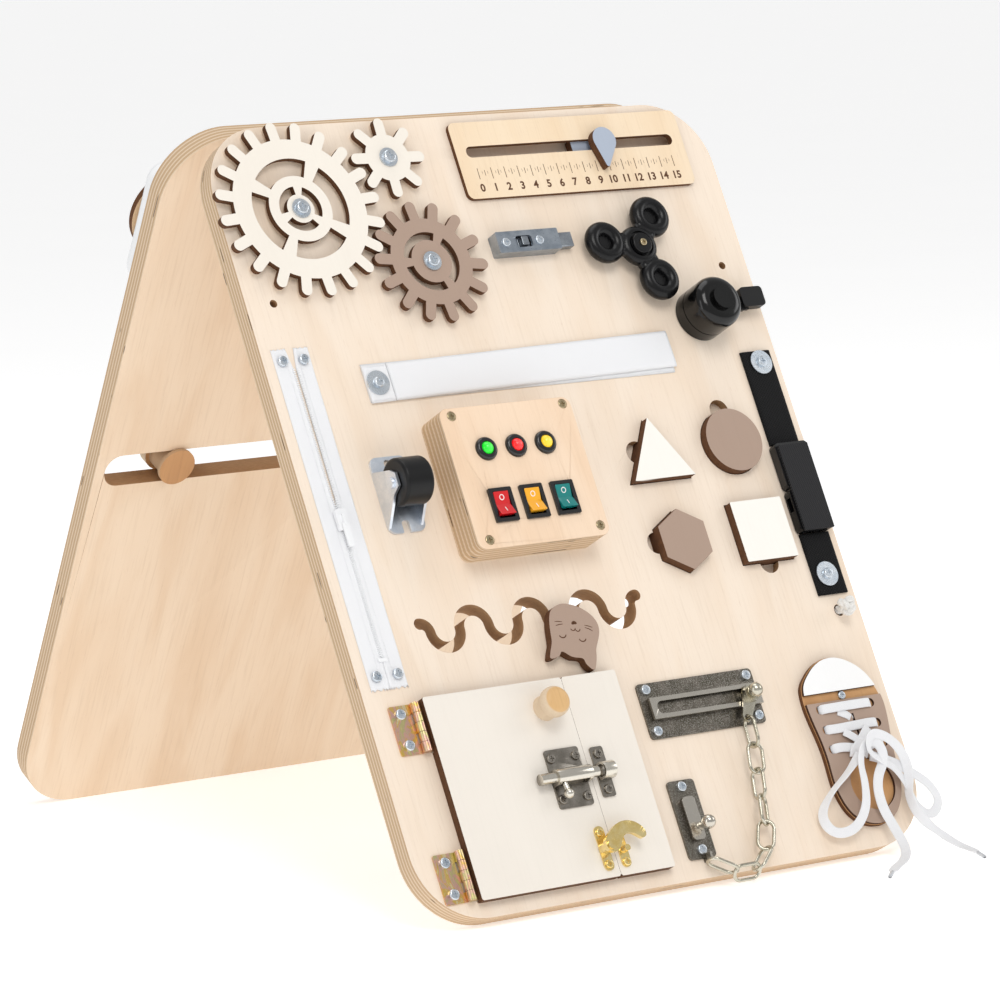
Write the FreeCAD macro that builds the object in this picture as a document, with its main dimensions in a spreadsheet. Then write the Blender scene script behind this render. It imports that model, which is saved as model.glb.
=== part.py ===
import FreeCAD, Part
import os, math
import Sketcher

V = FreeCAD.Vector

# ---------------------------------------------------------------- document
doc = FreeCAD.newDocument("busy_board")
sheet = doc.addObject("Spreadsheet::Sheet", "Dims")
sheet.Label = "Dims"

TABLE = [
    # board
    ("panel_width", 373.0, "width of both panels"),
    ("panel_height", 500.0, "height of both panels along the board"),
    ("panel_thick", 14.0, "birch plywood"),
    ("panel_corner", 43.0, "corner radius"),
    ("lean_angle", 27.5, "lean of each panel from upright"),
    ("apex_gap", 10.75, "gap between the inner top edges"),
    ("wall_hole_radius", 2.5, "wall mounting holes"),
    ("wall_hole_pitch", 334.8, "centre to centre"),
    ("wall_hole_height", 386.1, "up the board"),
    # gears
    ("gear_gap", 2.2, "gear underside above the face"),
    ("gear_thick", 4.0, "gear plywood"),
    ("gear_bore", 3.1, "bore radius"),
    ("big_tip", 57.2, "large gear tip radius"),
    ("big_root", 45.6, "large gear root radius"),
    ("small_tip", 26.3, "small gear tip radius"),
    ("small_root", 15.6, "small gear root radius"),
    ("mid_tip", 40.0, "middle gear tip radius"),
    ("mid_root", 28.4, "middle gear root radius"),
    ("tooth_half", 3.5, "half width of a tooth"),
    # ruler
    ("ruler_thick", 3.0, "ruler plate"),
    ("ruler_corner", 4.5, "ruler corner"),
    ("ruler_slot_half", 3.75, "half width of the ruler slot"),
    # control box
    ("box_width", 95.5, "control box"),
    ("box_height", 89.7, "control box"),
    ("box_depth", 19.0, "frame depth"),
    ("box_wall", 8.0, "frame wall"),
    ("lid_thick", 3.2, "lid"),
    # door
    ("door_thick", 6.0, "door leaf and post"),
    ("door_height", 123.9, "door"),
    ("door_leaf_width", 98.5, "door leaf"),
    ("door_post_width", 39.4, "fixed post"),
    # shapes
    ("recess_depth", 6.0, "shape recesses"),
    ("shape_thick", 11.9, "shape blocks"),
    ("circle_radius", 20.7, "round block"),
    ("square_side", 39.4, "square block"),
    ("recess_play", 0.5, "play round a block"),
    # caster
    ("wheel_radius", 14.5, "caster wheel"),
    ("wheel_width", 19.2, "caster wheel"),
    # latch
    ("latch_height", 8.8, "slide latch case"),
    # shoe
    ("shoe_base_thick", 3.0, "shoe base"),
    ("shoe_top_thick", 2.0, "shoe top layer"),
    # rear
    ("rear_slot_half", 11.2, "half height of the rear slot"),
    ("rear_slot_length", 200.0, "end to end"),
    # rope and lace
    ("rope_diameter", 6.0, "spread rope"),
    ("lace_diameter", 6.0, "shoe lace width"),
]
D = {}
for i, (name, value, note) in enumerate(TABLE):
    r = i + 1
    sheet.set("A%d" % r, name)
    sheet.set("B%d" % r, "%g" % value)
    sheet.set("C%d" % r, note)
    sheet.setAlias("B%d" % r, name)
    D[name] = value
doc.recompute()


class Dim:
    """a number with the sheet expression that gives it"""

    def __init__(self, value, expr):
        self.v = float(value)
        self.e = expr

    def _o(self, o):
        return o if isinstance(o, Dim) else Dim(o, "%g" % o)

    def __add__(self, o):
        o = self._o(o)
        return Dim(self.v + o.v, "(%s + %s)" % (self.e, o.e))

    def __sub__(self, o):
        o = self._o(o)
        return Dim(self.v - o.v, "(%s - %s)" % (self.e, o.e))

    def __mul__(self, o):
        o = self._o(o)
        return Dim(self.v * o.v, "(%s * %s)" % (self.e, o.e))

    def __neg__(self):
        return Dim(-self.v, "(0 - %s)" % self.e)


def d(name):
    return Dim(D[name], "Dims." + name)


def num(x):
    return x.v if isinstance(x, Dim) else float(x)


def bind(obj, prop, x):
    setattr(obj, prop, num(x))
    if isinstance(x, Dim):
        obj.setExpression(prop, x.e)


# ---------------------------------------------------------------- frames
W, H, T = D["panel_width"], D["panel_height"], D["panel_thick"]
LEAN = math.radians(D["lean_angle"])
OY = -(D["apex_gap"] / 2 + H * math.sin(LEAN) + T * math.cos(LEAN))
OZ = T * math.sin(LEAN)
# front panel frame: x to the right, y up the board, z out of its face
FRONT = FreeCAD.Placement(V(0, OY, OZ), FreeCAD.Rotation(V(1, 0, 0), 90 - D["lean_angle"]))
REAR = FreeCAD.Placement(V(0, 0, 0), FreeCAD.Rotation(V(0, 0, 1), 180)).multiply(FRONT)
WORLD = FreeCAD.Placement()

NODES = []


def node(obj, label, place=None):
    obj.Label = label
    if place is not None:
        obj.Placement = place
    NODES.append(obj)
    return obj


# ---------------------------------------------------------------- sketch helpers
def plane(b, role="XY_Plane"):
    for f in b.Origin.OriginFeatures:
        if f.Role == role:
            return f


def sketch(b, name, z=0.0):
    s = b.newObject("Sketcher::SketchObject", name)
    s.AttachmentSupport = [(plane(b), "")]
    s.MapMode = "FlatFace"
    s.AttachmentOffset = FreeCAD.Placement(V(0, 0, num(z)), FreeCAD.Rotation())
    if isinstance(z, Dim):
        s.setExpression("AttachmentOffset.Base.z", z.e)
    return s


def con(s, kind, *args):
    q = None
    args = list(args)
    if isinstance(args[-1], Dim):
        q = args[-1]
        args[-1] = q.v
    i = s.addConstraint(Sketcher.Constraint(kind, *args))
    if q is not None:
        s.setExpression("Constraints[%d]" % i, q.e)
    return i


def s_circle(s, cx, cy, r):
    g = s.addGeometry(Part.Circle(V(num(cx), num(cy), 0), V(0, 0, 1), num(r)), False)
    con(s, "Radius", g, r)
    for kind, c in (("DistanceX", cx), ("DistanceY", cy)):
        if isinstance(c, Dim) and c.v < 0:
            con(s, kind, g, 3, -1, 1, -c)
        elif isinstance(c, Dim):
            con(s, kind, -1, 1, g, 3, c)
    return g


def s_rrect(s, x0, y0, w, h, r):
    """rounded rectangle: lower left corner, size and corner radius"""
    X0, Y0, Wd, Hh, R = num(x0), num(y0), num(w), num(h), num(r)
    c = [(X0 + R, Y0 + R), (X0 + Wd - R, Y0 + R), (X0 + Wd - R, Y0 + Hh - R), (X0 + R, Y0 + Hh - R)]
    a0 = [180, 270, 0, 90]
    arcs, lines = [], []
    for (cx, cy), a in zip(c, a0):
        arcs.append(s.addGeometry(Part.ArcOfCircle(Part.Circle(V(cx, cy, 0), V(0, 0, 1), R),
                                                   math.radians(a), math.radians(a + 90)), False))
    pts = [((c[0][0], Y0), (c[1][0], Y0)), ((X0 + Wd, c[1][1]), (X0 + Wd, c[2][1])),
           ((c[2][0], Y0 + Hh), (c[3][0], Y0 + Hh)), ((X0, c[3][1]), (X0, c[0][1]))]
    for p, q in pts:
        lines.append(s.addGeometry(Part.LineSegment(V(p[0], p[1], 0), V(q[0], q[1], 0)), False))
    for k in range(4):
        s.addConstraint(Sketcher.Constraint("Tangent", arcs[k], 2, lines[k], 1))
        s.addConstraint(Sketcher.Constraint("Tangent", lines[k], 2, arcs[(k + 1) % 4], 1))
    s.addConstraint(Sketcher.Constraint("Horizontal", lines[0]))
    s.addConstraint(Sketcher.Constraint("Vertical", lines[1]))
    s.addConstraint(Sketcher.Constraint("Horizontal", lines[2]))
    s.addConstraint(Sketcher.Constraint("Vertical", lines[3]))
    for k in (1, 2):
        s.addConstraint(Sketcher.Constraint("Equal", arcs[0], arcs[k]))
    con(s, "Radius", arcs[0], r)
    dw = w - r * 2 if isinstance(w, Dim) or not isinstance(r, Dim) else Dim(num(w), "%g" % num(w)) - r * 2
    dh = h - r * 2 if isinstance(h, Dim) or not isinstance(r, Dim) else Dim(num(h), "%g" % num(h)) - r * 2
    con(s, "DistanceX", arcs[0], 3, arcs[1], 3, dw)
    con(s, "DistanceY", arcs[1], 3, arcs[2], 3, dh)


def s_poly(s, pts):
    n = len(pts)
    ids = []
    for k in range(n):
        p, q = pts[k], pts[(k + 1) % n]
        ids.append(s.addGeometry(Part.LineSegment(V(p[0], p[1], 0), V(q[0], q[1], 0)), False))
    for k in range(n):
        s.addConstraint(Sketcher.Constraint("Coincident", ids[k], 2, ids[(k + 1) % n], 1))


def s_slot(s, x0, x1, cy, r):
    """horizontal slot between the centres x0 and x1"""
    a = s.addGeometry(Part.ArcOfCircle(Part.Circle(V(x0, cy, 0), V(0, 0, 1), num(r)), math.pi / 2, 3 * math.pi / 2), False)
    b = s.addGeometry(Part.LineSegment(V(x0, cy - num(r), 0), V(x1, cy - num(r), 0)), False)
    c = s.addGeometry(Part.ArcOfCircle(Part.Circle(V(x1, cy, 0), V(0, 0, 1), num(r)), -math.pi / 2, math.pi / 2), False)
    e = s.addGeometry(Part.LineSegment(V(x1, cy + num(r), 0), V(x0, cy + num(r), 0)), False)
    for p, q in ((a, b), (b, c), (c, e), (e, a)):
        s.addConstraint(Sketcher.Constraint("Tangent", p, 2, q, 1))
    con(s, "Radius", a, r)


def s_curve(s, edges):
    """a closed chain of line and arc geometry"""
    for g in edges:
        s.addGeometry(g, False)


def pad(b, s, length, name):
    p = b.newObject("PartDesign::Pad", name)
    p.Profile = s
    bind(p, "Length", length)
    return p


def pocket(b, s, length, name, through=False):
    p = b.newObject("PartDesign::Pocket", name)
    p.Profile = s
    if through:
        p.Type = "ThroughAll"
    else:
        bind(p, "Length", length)
    return p


def body(label, place):
    b = doc.addObject("PartDesign::Body", label)
    node(b, label, place)
    return b


def plate(label, place, z0, thick, draw, cuts=()):
    """a flat piece: one pad, and pockets from its upper face.
    cuts: (depth or None for through, draw)"""
    b = body(label, place)
    s = sketch(b, label + "_outline", z0)
    draw(s)
    pad(b, s, thick, label + "_pad")
    doc.recompute()
    for k, (depth, dr) in enumerate(cuts):
        v0 = b.Shape.Volume
        top = (thick + z0) if isinstance(thick, Dim) else (z0 + thick if isinstance(z0, Dim) else z0 + thick)
        c = sketch(b, "%s_cut%d_sketch" % (label, k), top)
        dr(c)
        pocket(b, c, depth if depth is not None else 1, "%s_cut%d" % (label, k), depth is None)
        doc.recompute()
        if not b.Shape.Volume < v0 - 0.05:
            raise RuntimeError("pocket cut nothing: %s %d" % (label, k))
    return b


# ---------------------------------------------------------------- solid helpers
def place_z(pos, direction):
    return FreeCAD.Placement(V(*pos), FreeCAD.Rotation(V(0, 0, 1), V(*direction)))


def P_box(name, x, y, z, x0, y0, z0):
    o = doc.addObject("Part::Box", name)
    bind(o, "Length", x)
    bind(o, "Width", y)
    bind(o, "Height", z)
    o.Placement = FreeCAD.Placement(V(num(x0), num(y0), num(z0)), FreeCAD.Rotation())
    return o


def P_cyl(name, r, h, pos, direction=(0, 0, 1)):
    o = doc.addObject("Part::Cylinder", name)
    bind(o, "Radius", r)
    bind(o, "Height", h)
    o.Placement = place_z(pos, direction)
    return o


def P_fuse(name, objs):
    o = doc.addObject("Part::MultiFuse", name)
    o.Shapes = objs
    return o


def P_cut(name, base, tool):
    o = doc.addObject("Part::Cut", name)
    o.Base = base
    o.Tool = tool
    return o


def box(x0, y0, z0, x1, y1, z1):
    return Part.makeBox(x1 - x0, y1 - y0, z1 - z0, V(x0, y0, z0))


def cyl(r, z0, z1, x=0.0, y=0.0):
    return Part.makeCylinder(r, z1 - z0, V(x, y, z0), V(0, 0, 1))


def rod(r, p, q):
    a, b = V(*p), V(*q)
    return Part.makeCylinder(r, (b - a).Length, a, b - a)


def rbox(x0, y0, z0, x1, y1, z1, r):
    """box with rounded vertical edges"""
    s = box(x0, y0, z0, x1, y1, z1)
    ed = [e for e in s.Edges if abs(e.tangentAt(e.FirstParameter).z) > 0.9]
    return s.makeFillet(r, ed)


def prism(pts, z0, z1):
    w = Part.makePolygon([V(x, y, z0) for x, y in pts] + [V(pts[0][0], pts[0][1], z0)])
    return Part.Face(w).extrude(V(0, 0, z1 - z0))


def smooth_face(pts, z0, degree=3):
    """face bounded by a closed smooth curve through the points"""
    c = Part.BSplineCurve()
    c.interpolate([V(x, y, z0) for x, y in pts], PeriodicFlag=True)
    return Part.Face(Part.Wire([c.toShape()]))


def feature(label, shape, place):
    o = doc.addObject("Part::Feature", label)
    o.Shape = shape
    return node(o, label, place)


def group(shapes):
    return Part.makeCompound(shapes)


def screw(x, y, z, r=3.4, head=1.9, shank=8.0, core=1.7):
    """pan head screw: underside of its head at z"""
    hd = cyl(r, z, z + head, x, y)
    top = [e for e in hd.Edges if abs(e.CenterOfMass.z - (z + head)) < 1e-6 and abs(e.Length - 2 * math.pi * r) < 1e-3]
    hd = hd.makeFillet(head * 0.55, top)
    # cross recess
    hd = hd.cut(box(x - r * 0.5, y - 0.35, z + head - 0.8, x + r * 0.5, y + 0.35, z + head + 1))
    hd = hd.cut(box(x - 0.35, y - r * 0.5, z + head - 0.8, x + 0.35, y + r * 0.5, z + head + 1))
    return hd.fuse(cyl(core, z - shank, z, x, y)).removeSplitter()


def washer(x, y, z, r_out, thick, r_in):
    return cyl(r_out, z, z + thick, x, y).cut(cyl(r_in, z - 1, z + thick + 1, x, y))


def cord_path(points, tight=None):
    """straight runs joined by tangent arcs, each as large as its two runs allow.
    tight: {index: radius} for the places where a smaller arc is right"""
    tight = tight or {}
    pts = [V(*p) for p in points]
    edges, radii = [], []
    start = pts[0]
    for k in range(1, len(pts) - 1):
        a, b, c = pts[k - 1], pts[k], pts[k + 1]
        u = (b - a).normalize()
        w = (c - b).normalize()
        turn = u.getAngle(w)
        short = min((b - a).Length, (c - b).Length)
        radius = 0.45 * short / math.tan(turn / 2)
        if k in tight:
            radius = min(radius, tight[k])
        t = radius * math.tan(turn / 2)
        p, q = b - u * t, b + w * t
        mid_dir = ((p - b) + (q - b))
        mid_dir.normalize()
        m = b + mid_dir * (radius / math.cos(turn / 2) - radius)
        if (p - start).Length > 1e-6:
            edges.append(Part.LineSegment(start, p).toShape())
        edges.append(Part.Arc(p, m, q).toShape())
        radii.append((k, round(radius, 1), round(math.degrees(turn), 0)))
        start = q
    edges.append(Part.LineSegment(start, pts[-1]).toShape())
    return Part.Wire(edges), radii


def cord(label, points, dia, tight=None):
    path, radii = cord_path(points, tight)
    e0 = path.Edges[0]
    t0 = e0.tangentAt(e0.FirstParameter)
    prof = Part.Wire([Part.makeCircle(dia / 2, V(*points[0]), t0)])
    solid = path.makePipeShell([prof], True, False)
    want = math.pi * dia * dia / 4 * path.Length
    print("cord", label, "length %.1f" % path.Length, "volume ratio %.4f" % (solid.Volume / want),
          "radii", radii)
    if abs(solid.Volume / want - 1) > 0.02:
        raise RuntimeError("cord volume " + label)
    return solid


# ================================================================ panels
half = d("panel_width") * 0.5
R_PIN = 10.375            # radius of the wave's half circles
WAVE_V = 172.8            # height of their centres
WAVE_U = [-117.5 + 2 * R_PIN * k for k in range(7)]
WAVE_H = 3.5              # half width of the wave slot
TRI_C, TRI_R = (68.2, 261.8), 26.56
HEX_C, HEX_R = (68.2, 208.0), 20.0
SQ_C = (129.2, 208.0)
CIR_C = (128.5, 268.0)
NOTCH = [(57.0, 268.5, 7.5), (128.8, 290.0, 7.0), (51.0, 209.5, 7.0), (129.5, 188.0, 7.0)]
ROPE_UV = (170.7, 151.5)
PLAY = D["recess_play"]


def ngon(c, r, n, a0):
    return [(c[0] + r * math.cos(math.radians(a0 + 360.0 * k / n)),
             c[1] + r * math.sin(math.radians(a0 + 360.0 * k / n))) for k in range(n)]


def arc_g(cx, cy, r, a, b):
    return Part.ArcOfCircle(Part.Circle(V(cx, cy, 0), V(0, 0, 1), r), math.radians(a), math.radians(b))


def draw_wave(s):
    h, r6 = WAVE_H, 6.0
    x0 = WAVE_U[0] - R_PIN - r6
    x1 = WAVE_U[-1] + R_PIN + r6
    g = []
    for sgn in (1, -1):
        g.append(arc_g(x0, WAVE_V, r6 + sgn * h, 0, 90))
        for k, u in enumerate(WAVE_U):
            if k % 2 == 0:
                g.append(arc_g(u, WAVE_V, R_PIN - sgn * h, 180, 360))
            else:
                g.append(arc_g(u, WAVE_V, R_PIN + sgn * h, 0, 180))
        g.append(arc_g(x1, WAVE_V, r6 + sgn * h, 90, 180))
    g.append(arc_g(x0, WAVE_V + r6, h, 90, 270))
    g.append(arc_g(x1, WAVE_V + r6, h, -90, 90))
    s_curve(s, g)


def draw_panel(s):
    s_rrect(s, -half, 0, d("panel_width"), d("panel_height"), d("panel_corner"))


def draw_panel_holes(s):
    hp = d("wall_hole_pitch") * 0.5
    for x in (-hp, hp):
        s_circle(s, x, d("wall_hole_height"), d("wall_hole_radius"))
    s_circle(s, ROPE_UV[0], ROPE_UV[1], 3.8)


def draw_recesses(s):
    s_poly(s, ngon(TRI_C, TRI_R + 2 * PLAY, 3, 90))
    s_poly(s, ngon(HEX_C, HEX_R + PLAY / math.cos(math.pi / 6), 6, 90))
    s_circle(s, CIR_C[0], CIR_C[1], d("circle_radius") + d("recess_play"))
    q = D["square_side"] / 2 + PLAY
    s_poly(s, [(SQ_C[0] - q, SQ_C[1] - q), (SQ_C[0] + q, SQ_C[1] - q),
               (SQ_C[0] + q, SQ_C[1] + q), (SQ_C[0] - q, SQ_C[1] + q)])


def draw_notches(s):
    for x, y, r in NOTCH:
        s_circle(s, x, y, r)


def draw_channel(s):
    s_rrect(s, -5.6, 466.6, 168.8, 14.2, 3.0)


front_panel = plate("front_panel", FRONT, -d("panel_thick"), d("panel_thick"), draw_panel, [
    (None, draw_panel_holes), (None, draw_wave), (d("recess_depth"), draw_recesses),
    (d("recess_depth"), draw_notches), (8.0, draw_channel)])

R_SLOT_V = 261.7
R_S0, R_S1 = -9.3, 168.3   # centres of the rear slot's ends, in the rear frame


def draw_rear_cuts(s):
    s_slot(s, R_S0, R_S1, R_SLOT_V, d("rear_slot_half"))
    s_circle(s, -ROPE_UV[0], ROPE_UV[1], 3.8)


rear_panel = plate("rear_panel", REAR, -d("panel_thick"), d("panel_thick"), draw_panel, [(None, draw_rear_cuts)])

# ---------------------------------------------------------------- fold hinges
AXIS_Z = 440.0
AV = -OY * math.sin(LEAN) + (AXIS_Z - OZ) * math.cos(LEAN)
AW = OY * math.cos(LEAN) + (AXIS_Z - OZ) * math.sin(LEAN)
HINGE_X = (-95.0, 95.0)


def hinge_leaf(cx, segs, with_pin):
    z1 = -T
    leaf = box(cx - 30, 466, z1 - 1.4, cx + 30, 497.4, z1)
    for dx in (-20, 0, 20):
        for vv in (473, 489):
            leaf = leaf.cut(cyl(1.9, z1 - 3, z1 + 1, cx + dx, vv))
    parts = [leaf]
    for a, b in segs:
        web = box(cx + a, 496.2, AW, cx + b, 498.6, z1)
        parts.append(web)
        parts.append(rod(3.0, (cx + a, AV, AW), (cx + b, AV, AW)))
    s = parts[0].multiFuse(parts[1:])
    if with_pin:
        s = s.fuse(rod(1.5, (cx - 30, AV, AW), (cx + 30, AV, AW)))
    else:
        s = s.cut(rod(1.55, (cx - 31, AV, AW), (cx + 31, AV, AW)))
    return s.removeSplitter()


def hinge_screws():
    out = []
    for cx in HINGE_X:
        for dx in (-20, 0, 20):
            for vv in (473, 489):
                s = screw(0, 0, 0, r=3.2, head=1.6, shank=8.5, core=1.6)
                s.Placement = FreeCAD.Placement(V(cx + dx, vv, -T - 1.4), FreeCAD.Rotation(V(1, 0, 0), 180))
                out.append(s)
    return out


fold_hinge_front = feature("fold_hinge_front", group([hinge_leaf(c, ((-30, -10.2), (10.2, 30)), True) for c in HINGE_X] + hinge_screws()), FRONT)
fold_hinge_rear = feature("fold_hinge_rear", group([hinge_leaf(c, ((-9.8, 9.8),), False) for c in HINGE_X] + hinge_screws()), REAR)

# ================================================================ gears
G_BIG, G_SMALL, G_MID = (-133.2, 442.9), (-61.0, 472.3), (-52.5, 402.5)
PH_BIG, PH_SMALL, PH_MID = 22.5, -1.2, 147.5


def ring_sector(ri, ro, a, b):
    ra, rb = math.radians(a), math.radians(b)
    return [arc_g(0, 0, ro, a, b), arc_g(0, 0, ri, a, b),
            Part.LineSegment(V(ri * math.cos(ra), ri * math.sin(ra), 0), V(ro * math.cos(ra), ro * math.sin(ra), 0)),
            Part.LineSegment(V(ri * math.cos(rb), ri * math.sin(rb), 0), V(ro * math.cos(rb), ro * math.sin(rb), 0))]


def gear(label, centre, phase, teeth, root, tip, slots):
    place = FRONT.multiply(FreeCAD.Placement(V(centre[0], centre[1], 0), FreeCAD.Rotation(V(0, 0, 1), phase)))
    b = body(label, place)
    s = sketch(b, label + "_disc", d("gear_gap"))
    s_circle(s, 0, 0, root)
    pad(b, s, d("gear_thick"), label + "_blank")
    doc.recompute()
    t = sketch(b, label + "_tooth_sketch", d("gear_gap"))
    hw = D["tooth_half"]
    r0, r1 = num(root) - 3.0, num(tip) - hw
    a = t.addGeometry(Part.LineSegment(V(r0, -hw, 0), V(r1, -hw, 0)), False)
    c = t.addGeometry(Part.ArcOfCircle(Part.Circle(V(r1, 0, 0), V(0, 0, 1), hw), -math.pi / 2, math.pi / 2), False)
    e = t.addGeometry(Part.LineSegment(V(r1, hw, 0), V(r0, hw, 0)), False)
    f = t.addGeometry(Part.LineSegment(V(r0, hw, 0), V(r0, -hw, 0)), False)
    t.addConstraint(Sketcher.Constraint("Tangent", a, 2, c, 1))
    t.addConstraint(Sketcher.Constraint("Tangent", c, 2, e, 1))
    t.addConstraint(Sketcher.Constraint("Coincident", e, 2, f, 1))
    t.addConstraint(Sketcher.Constraint("Coincident", f, 2, a, 1))
    t.addConstraint(Sketcher.Constraint("Horizontal", a))
    t.addConstraint(Sketcher.Constraint("Vertical", f))
    con(t, "Radius", c, d("tooth_half"))
    con(t, "DistanceX", -1, 1, c, 3, tip - d("tooth_half"))
    t.addConstraint(Sketcher.Constraint("PointOnObject", c, 3, -1))
    con(t, "DistanceX", f, 1, c, 3, r1 - r0)
    tp = pad(b, t, d("gear_thick"), label + "_tooth")
    doc.recompute()
    pp = b.newObject("PartDesign::PolarPattern", label + "_teeth")
    pp.Originals = [tp]
    ax = [o for o in b.Origin.OriginFeatures if o.Role == "Z_Axis"][0]
    pp.Axis = (ax, [""])
    pp.Angle = 360
    pp.Occurrences = teeth
    b.Tip = pp
    doc.recompute()
    v0 = b.Shape.Volume
    k = sketch(b, label + "_bore_sketch", d("gear_gap") + d("gear_thick"))
    s_circle(k, 0, 0, d("gear_bore"))
    for ri, ro, aa, bb in slots:
        s_curve(k, ring_sector(ri, ro, aa, bb))
    pk = b.newObject("PartDesign::Pocket", label + "_bore")
    pk.Profile = k
    pk.Type = "ThroughAll"
    b.Tip = pk
    doc.recompute()
    if not b.Shape.Volume < v0 - 20:
        raise RuntimeError("gear bore " + label)
    return b


gear_large = gear("gear_large", G_BIG, PH_BIG, 20, d("big_root"), d("big_tip"),
                  [(21.5, 33.0, 59 + 8 + 90 * k - PH_BIG, 59 + 82 + 90 * k - PH_BIG) for k in range(4)] +
                  [(9.3, 14.6, 82 + 12 + 120 * k - PH_BIG, 82 + 108 + 120 * k - PH_BIG) for k in range(3)])
gear_small = gear("gear_small", G_SMALL, PH_SMALL, 8, d("small_root"), d("small_tip"), [])
gear_medium = gear("gear_medium", G_MID, PH_MID, 14, d("mid_root"), d("mid_tip"),
                   [(14.0, 19.3, -62 + 10 + 120 * k - PH_MID, -62 + 110 + 120 * k - PH_MID) for k in range(3)])

# ================================================================ ruler
RULER = (-8.8, 442.3, 174.6, 51.6)


def draw_ruler(s):
    s_rrect(s, RULER[0], RULER[1], RULER[2], RULER[3], d("ruler_corner"))


def draw_ruler_slot(s):
    s_slot(s, 2.9, 154.1, 473.7, d("ruler_slot_half"))


ruler_plate = plate("ruler_plate", FRONT, 0.0, d("ruler_thick"), draw_ruler, [(None, draw_ruler_slot)])
PTR = (101.0, 473.7)


def pointer_shape():
    a = math.radians(-90 - 10)
    # teardrop: circle of 8.6 with tangents to a small tip circle
    c, r = V(PTR[0], PTR[1] + 0.3, 0), 8.6
    tip, rt = V(c.x + 17.4 * math.cos(a), c.y + 17.4 * math.sin(a), 0), 1.3
    beta = math.acos((r - rt) / 17.4)
    pts = []
    for k in range(0, 25):
        ang = a + beta + (2 * math.pi - 2 * beta) * k / 24.0
        pts.append((c.x + r * math.cos(ang), c.y + r * math.sin(ang)))
    for k in range(0, 7):
        ang = a - beta + 2 * beta * k / 6.0
        pts.append((tip.x + rt * math.cos(ang), tip.y + rt * math.sin(ang)))
    head = prism(pts, 3.3, 9.0)
    stem = cyl(3.4, -0.6, 3.5, PTR[0], PTR[1])
    runner = rbox(81.5, 467.5, -6.2, 108, 479.9, -0.4, 2.0)
    return head.multiFuse([stem, runner]).removeSplitter()


ruler_pointer = feature("ruler_pointer", pointer_shape(), FRONT)

# ================================================================ slide latch
case = rbox(-2.8, 403.1, 0, 43.7, 417.1, 8.8, 0.9)
case = case.cut(box(5.0, 404.9, -1, 50, 415.3, 6.9))
case = case.cut(rbox(11.0, 406.0, 6, 23.0, 413.6, 10, 2.0))
for x in (3.2, 28.3):
    case = case.cut(cyl(1.9, -1, 10, x, 409.8))
slide_latch_case = feature("slide_latch_case", case, FRONT)
bolt = box(10.0, 405.3, 0.8, 55.5, 414.9, 5.6)
bolt = bolt.cut(rbox(23.0, 407.6, 0, 33.8, 412.0, 7, 1.6))
bolt = bolt.fuse(box(14.6, 407.0, 5.4, 19.4, 412.6, 10.2)).removeSplitter()
slide_latch_bolt = feature("slide_latch_bolt", bolt, FRONT)

# ================================================================ spinner
SP = (100.4, 400.3)


def spinner():
    lobes = [(SP[0] + 24.6 * math.cos(math.radians(a)), SP[1] + 24.6 * math.sin(math.radians(a))) for a in (50, 170, 290)]
    zc = 8.6
    s = Part.makeTorus(8.9, 4.3, V(SP[0], SP[1], zc)).fuse(cyl(8.9, zc - 4.3, zc + 4.3, *SP))
    for x, y in lobes:
        dx, dy = (x - SP[0]) / 24.6, (y - SP[1]) / 24.6
        a0, a1 = 5.0, 17.5
        for q in (-4.4, 4.4):
            s = s.fuse(Part.makeCylinder(3.5, a1 - a0, V(SP[0] + dx * a0 - dy * q, SP[1] + dy * a0 + dx * q, zc), V(dx, dy, 0)))
        s = s.fuse(prism([(SP[0] + dx * a0 - dy * 4.4, SP[1] + dy * a0 + dx * 4.4), (SP[0] + dx * a0 + dy * 4.4, SP[1] + dy * a0 - dx * 4.4),
                          (SP[0] + dx * a1 + dy * 4.4, SP[1] + dy * a1 - dx * 4.4), (SP[0] + dx * a1 - dy * 4.4, SP[1] + dy * a1 + dx * 4.4)],
                         zc - 3.5, zc + 3.5))
    for x, y in lobes:
        s = s.cut(cyl(9.05, 0, 20, x, y))
    for x, y in lobes:
        s = s.fuse(Part.makeTorus(9.05, 4.7, V(x, y, zc))).fuse(cyl(9.05, zc - 2.4, zc + 0.2, x, y))
    s = s.cut(cyl(8.7, zc + 2.6, 20, *SP).cut(cyl(7.3, 0, 21, *SP)))
    cap = cyl(7.0, zc, 15.0, *SP)
    cap = cap.makeFillet(1.0, [e for e in cap.Edges if abs(e.CenterOfMass.z - 15.0) < 1e-6 and e.Length > 20])
    s = s.fuse(cap).fuse(cyl(6.0, 3.4, zc, *SP))
    return s.cut(cyl(3.1, 0, 12.8, *SP)).cut(cyl(1.7, 10, 20, *SP)).removeSplitter()


spinner_body = feature("spinner_body", spinner(), FRONT)

# ================================================================ bell
BL = (136.2, 353.6)
PIV = (149.5, 354.6)
base = cyl(17.0, 0.6, 6.0, *BL)
ring = cyl(17.0, 6.0, 9.0, *BL).cut(cyl(15.4, 5.9, 9.1, *BL)).cut(box(146, 340, 6.0, 158, 374, 10))
base = base.fuse(ring).fuse(cyl(4.2, 5, 26.4, *BL)).fuse(cyl(1.5, 5.5, 9.0, *PIV)).fuse(cyl(9.0, 0.0, 1.0, *BL))
bell_base = feature("bell_base", base.removeSplitter(), FRONT)
dome = cyl(17.0, 9.6, 28.0, *BL)
dome = dome.makeFillet(7.0, [e for e in dome.Edges if abs(e.CenterOfMass.z - 28.0) < 1e-6 and e.Length > 50])
inner = cyl(15.4, 8.0, 26.4, *BL)
inner = inner.makeFillet(5.4, [e for e in inner.Edges if abs(e.CenterOfMass.z - 26.4) < 1e-6 and e.Length > 50])
dome = dome.cut(inner).fuse(cyl(7.6, 27.0, 30.6, *BL)).removeSplitter()
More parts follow.
